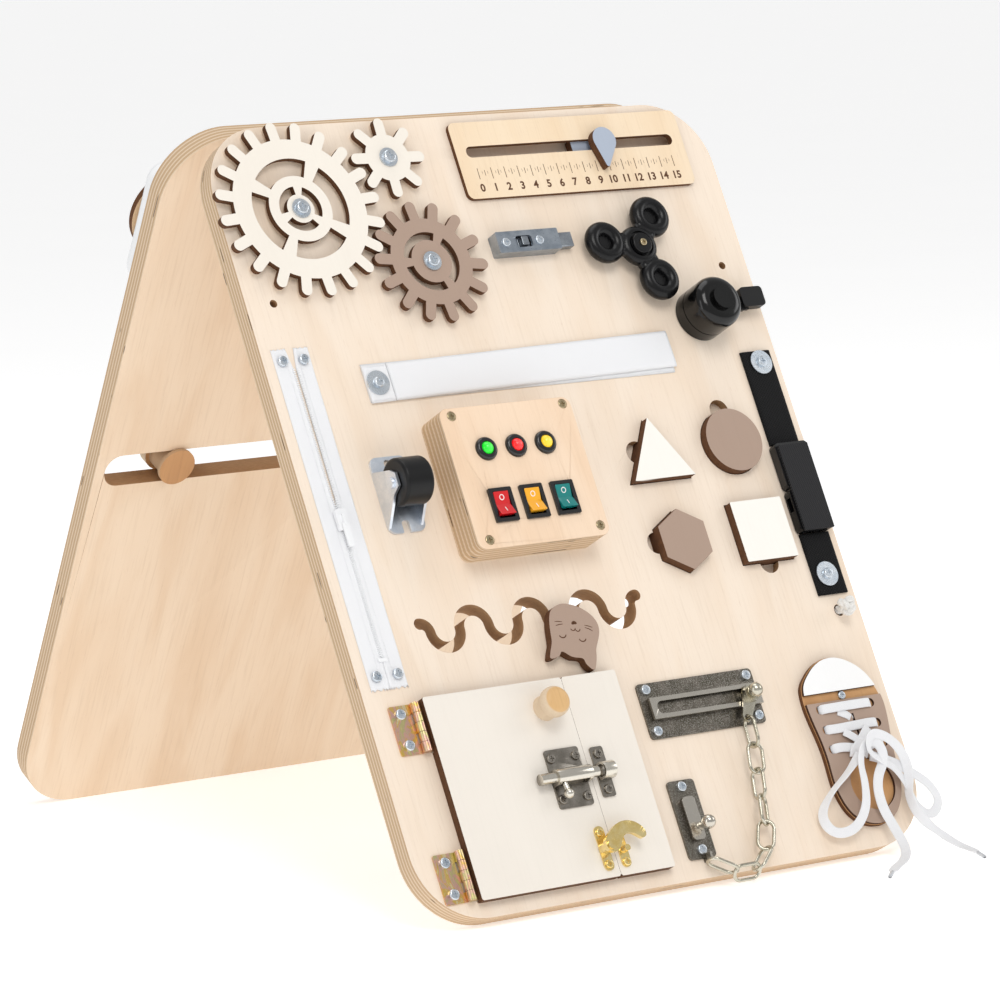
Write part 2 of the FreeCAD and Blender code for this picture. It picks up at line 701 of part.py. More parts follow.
bell_dome = feature("bell_dome", dome, FRONT)
lever = rbox(146.9, 351.6, 6.3, 168.0, 357.8, 8.8, 2.0)
lever = lever.fuse(rbox(165.5, 353.0, 5.2, 183.0, 366.2, 11.0, 2.6)).fuse(box(160, 352.0, 6.3, 170, 361, 8.8))
lever = lever.cut(cyl(1.56, 0, 20, *PIV)).removeSplitter()
bell_lever = feature("bell_lever", lever, FRONT)

# ================================================================ zipper
def zip_tape(sgn):
    cx = -166.6
    a = [(cx + sgn * 0.1, 158.0), (cx + sgn * 0.1, 250.0), (cx + sgn * 1.0, 262.0), (cx + sgn * 1.0, 344.0),
         (cx + sgn * 3.0, 357.0), (cx + sgn * 12.9, 357.3), (cx + sgn * 12.9, 142.0)]
    zig = []
    for k in range(5):
        x0 = cx + sgn * (12.9 - 2.55 * k)
        zig.append((x0 - sgn * 1.27, 144.0))
        zig.append((x0 - sgn * 2.5, 141.6))
    pts = a + zig[:-1] + [(cx + sgn * 0.1, 143.6)]
    if sgn < 0:
        pts = pts[::-1]
    t = prism(pts, 0.05, 1.25)
    for y in (150.5, 348.8):
        t = t.cut(cyl(1.9, -1, 3, cx + sgn * 7.4, y))
    return t


zip_stop = box(-169.8, 158.6, 1.25, -163.4, 161.4, 2.5)
zipper_tapes = feature("zipper_tapes", group([zip_tape(-1), zip_tape(1), zip_stop]), FRONT)
sl = rbox(-170.4, 240.5, 1.4, -162.8, 253.5, 4.2, 1.8)
sl = sl.fuse(box(-167.4, 243.0, 4.0, -165.8, 250.0, 6.0)).fuse(rbox(-168.6, 229.5, 4.4, -164.6, 245.0, 5.6, 1.2))
zipper_slider = feature("zipper_slider", sl.removeSplitter(), FRONT)

# ================================================================ hook and loop strap
vb = box(-121.3, 317.8, 0.05, 104.5, 342.6, 1.15).cut(cyl(1.9, -1, 5, -113.8, 329.4))
stub = prism([(-121.3, 316.9), (-104.3, 317.2), (-104.7, 341.7), (-121.7, 341.4)], 1.2, 2.3).cut(cyl(1.9, -1, 5, -113.8, 329.4))
velcro_base_strap = feature("velcro_base_strap", group([vb, stub]), FRONT)
VEL_AXIS = (-103.9, 329.4, 2.5)
vt = prism([(-103.8, 317.2), (106.4, 321.0), (106.0, 345.5), (-104.2, 341.7)], 1.4, 2.5)
velcro_top_strap = feature("velcro_top_strap", vt, FRONT)

# ================================================================ control box
BX = (-92.3, 212.0)
bw, bh, bd = d("box_width"), d("box_height"), d("box_depth")


def draw_box(s):
    s_rrect(s, BX[0], BX[1], bw, bh, 6.0)


def draw_box_inner(s):
    s_rrect(s, BX[0] + D["box_wall"], BX[1] + D["box_wall"], bw - d("box_wall") * 2, bh - d("box_wall") * 2, 3.0)


box_body = plate("box_body", FRONT, 0.0, bd, draw_box, [(None, draw_box_inner)])
LEDS = [(-66.8, 274.0), (-45.2, 274.0), (-23.8, 274.0)]
ROCK = [(-67.3, 238.0), (-44.8, 238.0), (-22.3, 238.0)]
LIDSCREW = [(-83.8, 296.7), (-2.6, 297.4), (-2.6, 218.4), (-83.4, 217.6)]


def draw_lid_cuts(s):
    for x, y in LEDS:
        s_circle(s, x, y, 5.4)
    for x, y in ROCK:
        s_rrect(s, x - 7.2, y - 9.6, 14.4, 19.2, 0.8)
    for x, y in LIDSCREW:
        s_circle(s, x, y, 1.9)


def draw_lid_sinks(s):
    for x, y in LIDSCREW:
        s_circle(s, x, y, 3.1)


box_lid = plate("box_lid", FRONT, d("box_depth"), d("lid_thick"), draw_box, [(None, draw_lid_cuts), (1.3, draw_lid_sinks)])
LZ = D["box_depth"] + D["lid_thick"]      # 22.2, top of the lid
bez = []
for x, y in LEDS:
    b1 = cyl(7.4, LZ, LZ + 2.6, x, y)
    b1 = b1.makeFillet(2.2, [e for e in b1.Edges if abs(e.CenterOfMass.z - LZ - 2.6) < 1e-6 and e.Length > 20])
    b1 = b1.fuse(cyl(5.3, LZ - 5, LZ + 0.5, x, y)).cut(cyl(4.25, LZ - 7, LZ + 6, x, y))
    bez.append(b1.removeSplitter())
    lens = cyl(4.2, LZ - 4, LZ + 0.8, x, y).fuse(Part.makeSphere(4.2, V(x, y, LZ + 0.8)))
    bez.append(lens.removeSplitter())
frames_, rockers = [], []
for k, (x, y) in enumerate(ROCK):
    fr = rbox(x - 8.2, y - 10.7, LZ, x + 8.2, y + 10.7, LZ + 1.8, 0.8)
    fr = fr.fuse(box(x - 7.0, y - 9.4, LZ - 12.0, x + 7.0, y + 9.4, LZ + 0.5))
    fr = fr.cut(box(x - 5.6, y - 8.4, LZ - 10.4, x + 5.6, y + 8.4, LZ + 3))
    fr = fr.fuse(rod(1.0, (x - 6.0, y, LZ - 1.2), (x + 6.0, y, LZ - 1.2)))
    frames_.append(fr.removeSplitter())
    # paddle: two facets that meet in a shallow valley, rocked so that one side stands up
    prof = [(-7.6, 4.6), (0, 2.2), (7.6, 4.6), (6.6, -1.0), (2.4, -3.6), (-2.4, -3.6), (-6.6, -1.0)]
    ca, sa = math.cos(math.radians(-9.0)), math.sin(math.radians(-9.0))
    prof = [V(x - 5.3, y + p[0] * ca - p[1] * sa, LZ - 1.2 + p[0] * sa + p[1] * ca) for p in prof]
    w = Part.makePolygon(prof + [prof[0]])
    rockers.append(Part.Face(w).extrude(V(10.6, 0, 0)).cut(rod(1.05, (x - 7, y, LZ - 1.2), (x + 7, y, LZ - 1.2))))
box_bezels = feature("box_bezels", group(bez + frames_), FRONT)
rocker_red = feature("rocker_red", rockers[0], FRONT)
rocker_yellow = feature("rocker_yellow", rockers[1], FRONT)
rocker_green = feature("rocker_green", rockers[2], FRONT)
bp = box(-72, 250.5, 0.0, -24, 271.5, 12.9)
bp = bp.cut(rod(5.3, (-70, 256.0, 10.5), (-26, 256.0, 10.5))).cut(rod(5.3, (-70, 266.4, 10.5), (-26, 266.4, 10.5)))
cells = [rod(5.15, (-69.5, yy, 10.5), (-26.5, yy, 10.5)) for yy in (256.0, 266.4)]
battery_pack = feature("battery_pack", group([bp] + cells), FRONT)

# ================================================================ caster
CW = (261.0, 17.7)     # axle: up the board, and out of the face
cb = rbox(-136.0, 235.0, 0, -110.0, 283.0, 1.8, 5.0)
cb = cb.cut(rbox(-126.2, 230.0, -1, -121.0, 242.5, 3, 2.0)).cut(rbox(-126.2, 275.5, -1, -121.0, 281.0, 3, 2.4))


def cheek(x0, x1, rr):
    pts = [(237.5, 1.0), (274.0, 1.0), (CW[0] + rr, CW[1] + 1.5), (CW[0] + rr * 0.55, CW[1] + rr * 0.85),
           (CW[0] - rr * 0.55, CW[1] + rr * 0.85), (CW[0] - rr, CW[1] - 1.0)]
    w = Part.makePolygon([V(x0, a, b) for a, b in pts] + [V(x0, pts[0][0], pts[0][1])])
    return Part.Face(w).extrude(V(x1 - x0, 0, 0))


cb = cb.fuse(cheek(-136.0, -134.2, 7.5)).fuse(cheek(-113.4, -111.6, 7.5))
cb = cb.fuse(rod(2.0, (-137.4, CW[0], CW[1]), (-110.6, CW[0], CW[1]))).fuse(rod(3.4, (-137.4, CW[0], CW[1]), (-136.0, CW[0], CW[1])))
cb = cb.fuse(rod(3.4, (-111.6, CW[0], CW[1]), (-110.4, CW[0], CW[1])))
caster_bracket = feature("caster_bracket", cb.removeSplitter(), FRONT)
cw_r, cw_w = d("wheel_radius"), d("wheel_width")
wheel_out = P_cyl("wheel_tyre", cw_r, cw_w, (-133.6, CW[0], CW[1]), (1, 0, 0))
wheel_bore = P_cyl("wheel_bore", 2.06, cw_w + 2, (-134.6, CW[0], CW[1]), (1, 0, 0))
doc.recompute()
wheel_f = doc.addObject("Part::Fillet", "wheel_round")
wheel_f.Base = wheel_out
wheel_f.Edges = [(i + 1, 2.0, 2.0) for i, e in enumerate(wheel_out.Shape.Edges) if abs(e.Length - 2 * math.pi * 14.5) < 0.1]
caster_wheel = node(P_cut("caster_wheel", wheel_f, wheel_bore), "caster_wheel", FRONT)

# ================================================================ shape blocks
ZB = -5.9


def draw_tri(s):
    s_poly(s, ngon(TRI_C, TRI_R, 3, 90))


def draw_hex(s):
    s_poly(s, ngon(HEX_C, HEX_R, 6, 90))


def draw_cir(s):
    s_circle(s, CIR_C[0], CIR_C[1], d("circle_radius"))


def draw_sq(s):
    q = D["square_side"] / 2
    s_rrect(s, SQ_C[0] - q, SQ_C[1] - q, d("square_side"), d("square_side"), 0.8)


shape_triangle = plate("shape_triangle", FRONT, ZB, d("shape_thick"), draw_tri)
shape_circle = plate("shape_circle", FRONT, ZB, d("shape_thick"), draw_cir)
shape_hexagon = plate("shape_hexagon", FRONT, ZB, d("shape_thick"), draw_hex)
shape_square = plate("shape_square", FRONT, ZB, d("shape_thick"), draw_sq)

# ================================================================ buckle
B0, B1 = 156.5, 182.5
SW = (158.0, 181.0)      # sides of the webbing
up = box(SW[0], 262.4, 0.3, SW[1], 326.0, 2.2).cut(cyl(1.9, -1, 5, 171.0, 318.0))
lo = box(SW[0], 162.0, 0.3, SW[1], 202.6, 2.2).cut(cyl(1.9, -1, 5, 168.5, 175.0))
buckle_straps = feature("buckle_straps", group([up, lo]), FRONT)
so = rbox(B0, 203.0, 0.8, B1, 231.0, 7.0, 3.0)
so = so.cut(box(B0 + 2.0, 213.0, 2.0, B1 - 2.0, 232.0, 5.8))
so = so.cut(box(B0 - 1, 217.0, 2.0, B1 + 1, 226.0, 5.8)).cut(box(SW[0], 206.0, 0, SW[1], 209.0, 10))
buckle_socket = feature("buckle_socket", so.removeSplitter(), FRONT)
to = rbox(B0, 231.8, 0.8, B1, 262.0, 7.0, 3.0)
to = to.cut(box(SW[0], 246.0, 0, SW[1], 250.0, 10)).cut(box(SW[0], 254.0, 0, SW[1], 257.0, 10))
for a, b_ in ((159.0, 162.6), (176.4, 180.0)):
    to = to.fuse(box(a, 215.5, 2.3, b_, 232.5, 5.5))
to = to.fuse(box(167.2, 219.0, 2.5, 171.6, 232.5, 5.3))
to = to.fuse(box(SW[0], 252.0, 6.6, SW[1], 260.0, 8.9)).fuse(box(SW[0], 203.0, 7.25, SW[1], 254.0, 8.9))
buckle_tongue = feature("buckle_tongue", to.removeSplitter(), FRONT)

# ================================================================ cat on the wave slot
ST = (-34.5, WAVE_V - R_PIN)
CAT = [(-44.5, 175), (-40, 177), (-36, 177.5), (-31, 176.5), (-26, 174.5), (-21.5, 171.5), (-18, 168), (-16, 164.5),
       (-15.3, 161), (-16, 157), (-18, 153), (-20.3, 149.5), (-22, 146.5), (-23, 143), (-24.5, 139), (-26, 136),
       (-27.3, 134.5), (-28.7, 134.8), (-30.5, 136.5), (-32.3, 139.5), (-33, 142), (-34.2, 142.7), (-38, 143.5),
       (-42, 145.3), (-45.5, 148), (-46.5, 148.3), (-48.5, 146.5), (-51, 145.3), (-54, 144.8), (-55.8, 145.3),
       (-55.5, 147), (-53.5, 151), (-51.5, 155), (-50.5, 160), (-49.5, 165), (-48, 170)]
cat = smooth_face(CAT, 1.0).extrude(V(0, 0, 6.0))
cat = cat.cut(cyl(3.26, 0.5, 3.4, *ST)).cut(cyl(5.1, 2.6, 5.0, *ST))
cat_figure = feature("cat_figure", cat, FRONT)
stud = cyl(3.2, -14.6, 3.0, *ST).fuse(cyl(5.04, 2.7, 4.8, *ST)).fuse(cyl(6.2, -17.0, -14.4, *ST))
cat_stud = feature("cat_stud", stud.removeSplitter(), FRONT)

# ================================================================ door
DV0, DV1 = 9.3, 133.2
dh, dl, dp = d("door_height"), d("door_leaf_width"), d("door_post_width")


def draw_leaf(s):
    s_rrect(s, -151.0, DV0, dl, dh, 1.5)


def draw_post(s):
    s_rrect(s, -52.2, DV0, dp, dh, 1.5)


def draw_seam(s):
    s_circle(s, -52.35, DV1, 1.0)
    s_circle(s, -52.35, DV0, 1.0)


HINGE_V = ((11.0, 41.0), (101.5, 131.5))
door_b = plate("door_leaf", FRONT, 0.2, d("door_thick"), draw_leaf, [(None, draw_seam)])
rs = sketch(door_b, "door_leaf_hinge_recess_sketch", 0.2)
for v0_, v1_ in HINGE_V:
    s_poly(rs, [(-154.0, v0_ - 0.6), (-136.4, v0_ - 0.6), (-136.4, v1_ + 0.6), (-154.0, v1_ + 0.6)])
rp = door_b.newObject("PartDesign::Pocket", "door_leaf_hinge_recess")
rp.Profile = rs
rp.Length = 1.5
rp.Reversed = True
vol = door_b.Shape.Volume
doc.recompute()
if not door_b.Shape.Volume < vol - 10:
    raise RuntimeError("hinge recess cut nothing")
door_leaf = door_b
door_post = plate("door_post", FRONT, 0.0, d("door_thick"), draw_post, [(None, draw_seam)])
HU, HW_ = -155.5, 3.3


def knuckles(v0, v1, which):
    n, gap = 5, 0.25
    step = (v1 - v0) / n
    return [(v0 + k * step + (gap / 2 if k else 0), v0 + (k + 1) * step - (gap / 2 if k < n - 1 else 0))
            for k in range(n) if k % 2 == which]


fx, mv = [], []
for v0_, v1_ in HINGE_V:
    a = rbox(-172.3, v0_, 0, -158.8, v1_, 1.2, 1.2)
    for p, q in knuckles(v0_, v1_, 0):
        a = a.fuse(box(-160.0, p, 0.0, HU, q, 1.2)).fuse(rod(2.7, (HU, p, HW_), (HU, q, HW_)))
    a = a.fuse(rod(1.2, (HU, v0_, HW_), (HU, v1_, HW_)))
    for yy in (v0_ + 5.5, v1_ - 5.5):
        a = a.cut(cyl(1.9, -1, 3, -165.6, yy))
    fx.append(a.removeSplitter())
    m = box(-152.4, v0_ + 0.2, 0.3, -137.0, v1_ - 0.2, 1.5)
    for p, q in knuckles(v0_, v1_, 1):
        m = m.fuse(box(HU, p, 0.62, -151.8, q, 1.5)).fuse(rod(2.7, (HU, p, HW_), (HU, q, HW_)))
    m = m.cut(rod(1.26, (HU, v0_ - 1, HW_), (HU, v1_ + 1, HW_)))
    mv.append(m.removeSplitter())
door_hinge_fixed = feature("door_hinge_fixed", group(fx), FRONT)
door_hinge_moving = feature("door_hinge_moving", group(mv), FRONT)
KN = (-70.2, 115.8)
kn = cyl(9.3, 12.4, 23.2, *KN)
kn = kn.makeFillet(4.6, [e for e in kn.Edges if abs(e.Length - 2 * math.pi * 9.3) < 0.01])
stem = Part.makeCone(7.8, 6.2, 7.6, V(KN[0], KN[1], 6.2), V(0, 0, 1))
door_knob = feature("door_knob", kn.fuse(stem).removeSplitter(), FRONT)

# ---------------------------------------------------------------- barrel bolt
BA, BWZ = 72.2, 11.4
bb = rbox(-80.9, 54.0, 6.2, -56.4, 90.2, 7.3, 2.0).fuse(rod(4.9, (-80.9, BA, BWZ), (-56.4, BA, BWZ)))
bb = bb.fuse(box(-80.9, BA - 4.9, 6.5, -56.4, BA + 4.9, BWZ))
bb = bb.cut(rod(3.52, (-83, BA, BWZ), (-53, BA, BWZ)))
bb = bb.cut(box(-78.8, BA - 8, BWZ - 2.3, -58.8, BA, BWZ + 3.0))
BOLT_SCREWS = [(-77.4, 84.6), (-59.8, 84.6), (-77.4, 59.6), (-59.8, 59.6)]
for x, y in BOLT_SCREWS:
    bb = bb.cut(cyl(1.9, 5, 8, x, y))
bb = bb.removeSplitter()
bolt_body = feature("bolt_body", group([bb] + [screw(x, y, 7.3, r=2.9, head=1.4, shank=5.0, core=1.5) for x, y in BOLT_SCREWS]), FRONT)
br = rod(3.45, (-92.0, BA, BWZ), (-50.9, BA, BWZ))
br = br.fuse(rod(1.8, (-76.4, BA, BWZ), (-76.4, BA - 10.5, BWZ + 2.2))).fuse(Part.makeSphere(3.1, V(-76.4, BA - 11.0, BWZ + 2.3)))
bolt_rod = feature("bolt_rod", br.removeSplitter(), FRONT)
kp = rbox(-48.5, 57.0, 6.0, -39.3, 88.0, 7.2, 1.5).fuse(rod(5.2, (-48.0, BA, BWZ), (-39.8, BA, BWZ)))
kp = kp.fuse(box(-48.0, BA - 5.2, 6.4, -39.8, BA + 5.2, BWZ)).cut(rod(3.8, (-50, BA, BWZ), (-38, BA, BWZ)))
KEEP_SCREWS = [(-43.9, 83.5), (-43.9, 61.5)]
for x, y in KEEP_SCREWS:
    kp = kp.cut(cyl(1.9, 5, 8, x, y))
CATCH_SCREWS = [(-46.5, 16.9), (-46.5, 31.0)]
ct = rbox(-49.7, 13.8, 6.0, -43.3, 34.1, 7.0, 3.0).fuse(cyl(2.0, 6.5, 12.2, -46.5, 24.2))
for x, y in CATCH_SCREWS:
    ct = ct.cut(cyl(1.6, 5, 8, x, y))
post_catches = feature("post_catches", group([kp.removeSplitter(), ct.removeSplitter()] +
                       [screw(x, y, 7.2, r=2.9, head=1.4, shank=5.0, core=1.5) for x, y in KEEP_SCREWS] +
                       [screw(x, y, 7.0, r=2.5, head=1.2, shank=4.5, core=1.3) for x, y in CATCH_SCREWS]), FRONT)
LP = (-59.3, 26.6)
lp = rbox(-62.7, 13.4, 6.2, -55.9, 40.6, 7.2, 3.2).fuse(cyl(3.9, 7.0, 9.0, *LP)).fuse(cyl(1.6, 8.0, 16.0, *LP))
lp = lp.fuse(cyl(3.0, 15.9, 16.8, *LP))
LS = [(-59.3, 17.2), (-59.3, 36.6)]
for x, y in LS:
    lp = lp.cut(cyl(1.6, 5, 8, x, y))
latch_plate = feature("latch_plate", group([lp.removeSplitter()] + [screw(x, y, 7.2, r=2.5, head=1.2, shank=4.5, core=1.3) for x, y in LS]), FRONT)
horn = [(-63.2, 27.0), (-60.8, 22.8), (-56.2, 22.4), (-52.8, 25.6), (-50.2, 29.4), (-46.4, 31.6), (-41.8, 31.2), (-38.4, 28.8),
        (-35.6, 27.6), (-33.4, 29.2), (-33.6, 32.4), (-36.4, 36.0), (-41.2, 38.7), (-47.4, 39.4), (-53.4, 37.6), (-58.6, 33.8), (-62.0, 30.6)]
la = smooth_face(horn, 12.6).extrude(V(0, 0, 3.0)).fuse(cyl(3.9, 9.1, 15.8, *LP)).cut(cyl(1.66, 8, 17, *LP))
latch_arm = feature("latch_arm", la.removeSplitter(), FRONT)

# ================================================================ door chain
CH_SCREWS = [(7.7, 118.8), (83.4, 118.7), (83.8, 93.0), (7.2, 92.7)]
AN_SCREWS = [(11.7, 56.9), (12.4, 17.4)]
tr = rbox(1.8, 88.0, 0, 88.5, 122.9, 1.5, 2.5).fuse(box(6.0, 99.3, 1.0, 88.0, 112.7, 5.2))
tr = tr.cut(box(7.2, 100.5, 1.6, 86.8, 111.5, 4.0)).cut(rbox(10.0, 102.0, 3.8, 85.0, 110.0, 6.0, 3.9))
for x, y in CH_SCREWS:
    tr = tr.cut(cyl(1.9, -1, 3, x, y))
an = rbox(2.0, 12.0, 0, 22.0, 61.0, 1.5, 2.5).fuse(rbox(7.2, 23.0, 1.2, 16.6, 50.0, 4.4, 3.0))
an = an.fuse(cyl(2.6, 1.0, 10.0, 15.6, 31.0)).fuse(Part.makeSphere(4.4, V(15.6, 31.0, 12.0)))
an = an.fuse(box(12.6, 9.4, 0.0, 14.6, 14.0, 8.0))
for x, y in AN_SCREWS:
    an = an.cut(cyl(1.9, -1, 3, x, y))
chain_plates = feature("chain_plates", group([tr.removeSplitter(), an.removeSplitter()]), FRONT)
CS = (79.0, 106.0)
cs = cyl(5.0, 1.9, 3.7, *CS).fuse(cyl(3.6, 3.0, 8.0, *CS)).fuse(cyl(5.6, 7.0, 9.4, *CS)).fuse(Part.makeSphere(4.6, V(CS[0], CS[1], 12.4)))
lug = prism([(74.5, 108.5), (68.0, 93.0), (68.2, 89.6), (71.6, 88.2), (74.0, 90.6), (83.6, 104.0)], 5.9, 7.4)
lug = lug.cut(cyl(2.0, 5, 9, 70.8, 91.2))
chain_slider = feature("chain_slider", cs.fuse(lug).removeSplitter(), FRONT)
LC = [(70.2, 81.8, 7.5), (67.9, 65.6, 6.8), (64.0, 49.7, 6.8), (61.6, 33.5, 6.8), (57.2, 17.9, 7.0), (48.6, 4.2, 8.0),
      (34.0, -2.4, 9.0), (19.2, 4.4, 7.6)]
LT = [90, 5, 85, 145, 20, 70, 15, 75]     # turn of each link about its own length


def chain_link(c, direction, roll, length=21.0, width=12.0, dia=2.3):
    r = (width - dia) / 2
    L = (length - dia) / 2 - r
    segs = [Part.makeLine(V(-L, -r, 0), V(L, -r, 0)),
            Part.Arc(V(L, -r, 0), V(L + r, 0, 0), V(L, r, 0)).toShape(),
            Part.makeLine(V(L, r, 0), V(-L, r, 0)),
            Part.Arc(V(-L, r, 0), V(-L - r, 0, 0), V(-L, -r, 0)).toShape()]
    w = Part.Wire(segs)
    prof = Part.Wire([Part.makeCircle(dia / 2, V(-L, -r, 0), V(1, 0, 0))])
    s = w.makePipeShell([prof], True, False)
    if s.Volume < 0:
        s.reverse()
    dr = V(*direction).normalize()
    rot = FreeCAD.Rotation(V(1, 0, 0), dr)
    s.Placement = FreeCAD.Placement(V(*c), FreeCAD.Rotation(dr, roll).multiply(rot))
    return s


links = []
for k, c in enumerate(LC):
    p = LC[k - 1] if k else (70.2, 98.0, 6.8)
    q = LC[k + 1] if k < len(LC) - 1 else (8.0, 14.0, 6.0)
    links.append(chain_link(c, (q[0] - p[0], q[1] - p[1], q[2] - p[2]), LT[k]))
chain_links = feature("chain_links", group(links), FRONT)

# ================================================================ shoe
SHOE = [(119.5, 103), (118.5, 95), (119, 85), (121, 70), (121.5, 55), (121, 42), (122.5, 32), (127, 22), (136, 15),
        (148, 13), (158, 16), (166, 24), (171, 35), (173, 50), (175, 65), (177.5, 80), (178, 90), (176, 99), (170, 110),
        (160, 118), (148, 121.5), (136, 119), (126, 112)]
EYE = [(127.5, 89.0), (127.5, 76.0), (127.5, 63.5), (167.5, 89.0), (168.0, 76.0), (168.0, 63.0)]
SHOE_SCREW = (148.6, 96.6)
sb = smooth_face(SHOE, 0.0).extrude(V(0, 0, D["shoe_base_thick"])).cut(cyl(1.9, -1, 4, *SHOE_SCREW))
shoe_board = feature("shoe_board", sb, FRONT)
cx_, cy_ = 148.3, 67.0
SH2 = [(cx_ + (x - cx_) * 0.982, cy_ + (y - cy_) * 0.988) for x, y in SHOE]
st0 = D["shoe_base_thick"]
st1 = st0 + D["shoe_top_thick"]
whole = smooth_face(SH2, st0).extrude(V(0, 0, st1 - st0))
toe = whole.common(box(100, 99.5, 0, 200, 140, 10))
upper = whole.common(box(100, 0, 0, 200, 93.6, 10))
for x, y in EYE:
    upper = upper.cut(cyl(2.7, 0, 10, x, y))
oval = [(149.5 + 16.5 * math.cos(2 * math.pi * k / 16), 38.5 + 16.5 * math.sin(2 * math.pi * k / 16)) for k in range(16)]
upper = upper.cut(smooth_face(oval, 0).extrude(V(0, 0, 10)))
upper = upper.cut(box(150.2, 54.0, 0, 151.8, 84.0, 10))
shoe_upper = feature("shoe_upper", group([toe, upper]), FRONT)
lx = []
for y in (88.8, 76.0):
    lx.append(prism([(124.6, y - 3.1), (170.6, y - 3.1), (170.6, y + 3.1), (124.6, y + 3.1)], 5.3, 6.9))
low = prism([(124.6, 60.4), (170.6, 60.0), (170.6, 66.2), (124.6, 66.6)], 5.3, 6.9)
low = low.fuse(rbox(137.6, 54.6, 5.3, 151.0, 66.8, 11.4, 3.2)).removeSplitter()
lx.append(low)
lace_crossings = feature("lace_crossings", group(lx), FRONT)


def W3(u, v, w):
    p = FRONT.multVec(V(u, v, w))
    return (p.x, p.y, p.z)


LEFT = [W3(142.1, 56.7, 11.5), W3(130.3, 47, 11), W3(113.5, 36.5, 8), W3(102, 24, 5.5), W3(108, 11.5, 5), W3(122.5, 11, 7.5),
        W3(134, 22, 10.5), W3(137.6, 37, 12.5), W3(136.8, 51, 15), W3(142.0, 61, 16.5), W3(153.5, 62.5, 16), W3(157.5, 51.5, 14.5),
        W3(146.5, 38.5, 12.5), W3(146.3, 22.5, 10), (152.4, -252.5, 17.0), (150.5, -265.5, 6.5), (137.0, -279.5, 4.0),
        (118.5, -291.5, 4.0), (101.7, -307.9, 4.0)]
RIGHT = [W3(150.5, 54.8, 9.5), W3(164.8, 49.3, 10), W3(178.6, 39.9, 9), W3(189.5, 31.5, 8), W3(195, 20, 6.0), W3(185.0, 11.5, 5.0),
         W3(175.5, 20.5, 6.5), W3(171.5, 34, 8.5), W3(165.0, 44.5, 11), W3(153.5, 50, 14), W3(143.5, 56.5, 17), W3(148.5, 67, 18.5),
         W3(161, 63.5, 17.5), W3(172, 53, 14), W3(174, 39, 11.5), W3(169, 25.5, 9.5), (173.0, -252.0, 21.0),
         (184.0, -257.0, 10.5), (189.0, -270.0, 4.2), (187.0, -286.5, 4.0), (179.9, -303.3, 4.0)]


def runs(name, pts):
    P = [V(*p) for p in pts]
    L = [(P[k + 1] - P[k]).Length for k in range(len(P) - 1)]
    for k in range(len(L) - 1):
        r = max(L[k], L[k + 1]) / min(L[k], L[k + 1])
        a = math.degrees((P[k + 1] - P[k]).getAngle(P[k + 2] - P[k + 1]))
        if r > 2 or a > 91 or a < 2:
            print("RUN", name, k + 1, "ratio %.2f turn %.0f" % (r, a))
    for p in pts:
        if p[2] < 3.2:
            print("LOW", name, p)


for nm, pts in (("lace_left", LEFT), ("lace_right", RIGHT)):
    runs(nm, pts)
LACE = D["lace_diameter"]
lace_left = feature("lace_left", cord("lace_left", LEFT, LACE), WORLD)
lace_right = feature("lace_right", cord("lace_right", RIGHT, LACE), WORLD)

# ================================================================ spread rope
RX = ROPE_UV[0]
ra, rb = W3(RX, ROPE_UV[1], 8.8), W3(RX, ROPE_UV[1], -24.0)
ROPE = [ra, rb, (RX, -100.0, 118.2), (RX, -36.0, 111.0)]
ROPE = ROPE + [(p[0], -p[1], p[2]) for p in ROPE[::-1]]
runs("spread_rope", ROPE)
rope = cord("spread_rope", ROPE, D["rope_diameter"])
rope = rope.fuse(Part.makeSphere(8.3, V(*ROPE[0]))).fuse(Part.makeSphere(8.3, V(*ROPE[-1])))
spread_rope = feature("spread_rope", rope.removeSplitter(), WORLD)

# ================================================================ rear pieces
RS = (128.5, R_SLOT_V)
rsl = rbox(99.0, 267.0, 1.0, 155.0, 296.0, 9.0, 4.0).fuse(cyl(13.0, 1.0, 9.0, *RS)).fuse(cyl(10.4, -15.4, 2.0, *RS))
rsl = rsl.fuse(cyl(12.6, -17.2, -14.6, *RS)).fuse(rbox(112.0, 294.0, 1.0, 142.0, 306.0, 9.0, 4.0))
wheels = [cyl(6.5, 9.2, 13.0, xx, 270.0).fuse(cyl(1.6, 8.0, 13.8, xx, 270.0)) for xx in (108.0, 148.0)]
for wsh in wheels:
    rsl = rsl.fuse(wsh)
rear_slide = feature("rear_slide", rsl.removeSplitter(), REAR)
rbx = rbox(90.0, 372.0, 0.0, 166.0, 456.0, 40.0, 12.0)
rbx = rbx.makeFillet(7.0, [e for e in rbx.Edges if e.CenterOfMass.z > 39.99])
rin = rbox(92.4, 374.4, -1.0, 163.6, 453.6, 37.6, 9.6)
rbx = rbx.cut(rin).cut(cyl(3.1, 30, 45, 136.0, 415.0)).fuse(cyl(7.0, 30.0, 38.0, 136.0, 415.0).cut(cyl(3.1, 29, 45, 136.0, 415.0)))
rear_box = feature("rear_box", rbx.removeSplitter(), REAR)
rd = cyl(30.0, 40.3, 45.3, 136.0, 415.0)
rd = rd.makeFillet(1.5, [e for e in rd.Edges if abs(e.CenterOfMass.z - 45.3) < 1e-6 and e.Length > 100])
hd = rbox(130.0, 401.0, 45.0, 142.0, 429.0, 55.0, 5.5)
hd = hd.makeFillet(2.5, [e for e in hd.Edges if e.CenterOfMass.z > 54.99])
rd = rd.fuse(hd).fuse(cyl(3.04, 29.0, 41.0, 136.0, 415.0)).fuse(cyl(5.0, 27.0, 29.6, 136.0, 415.0))
rear_dial = feature("rear_dial", rd.removeSplitter(), REAR)

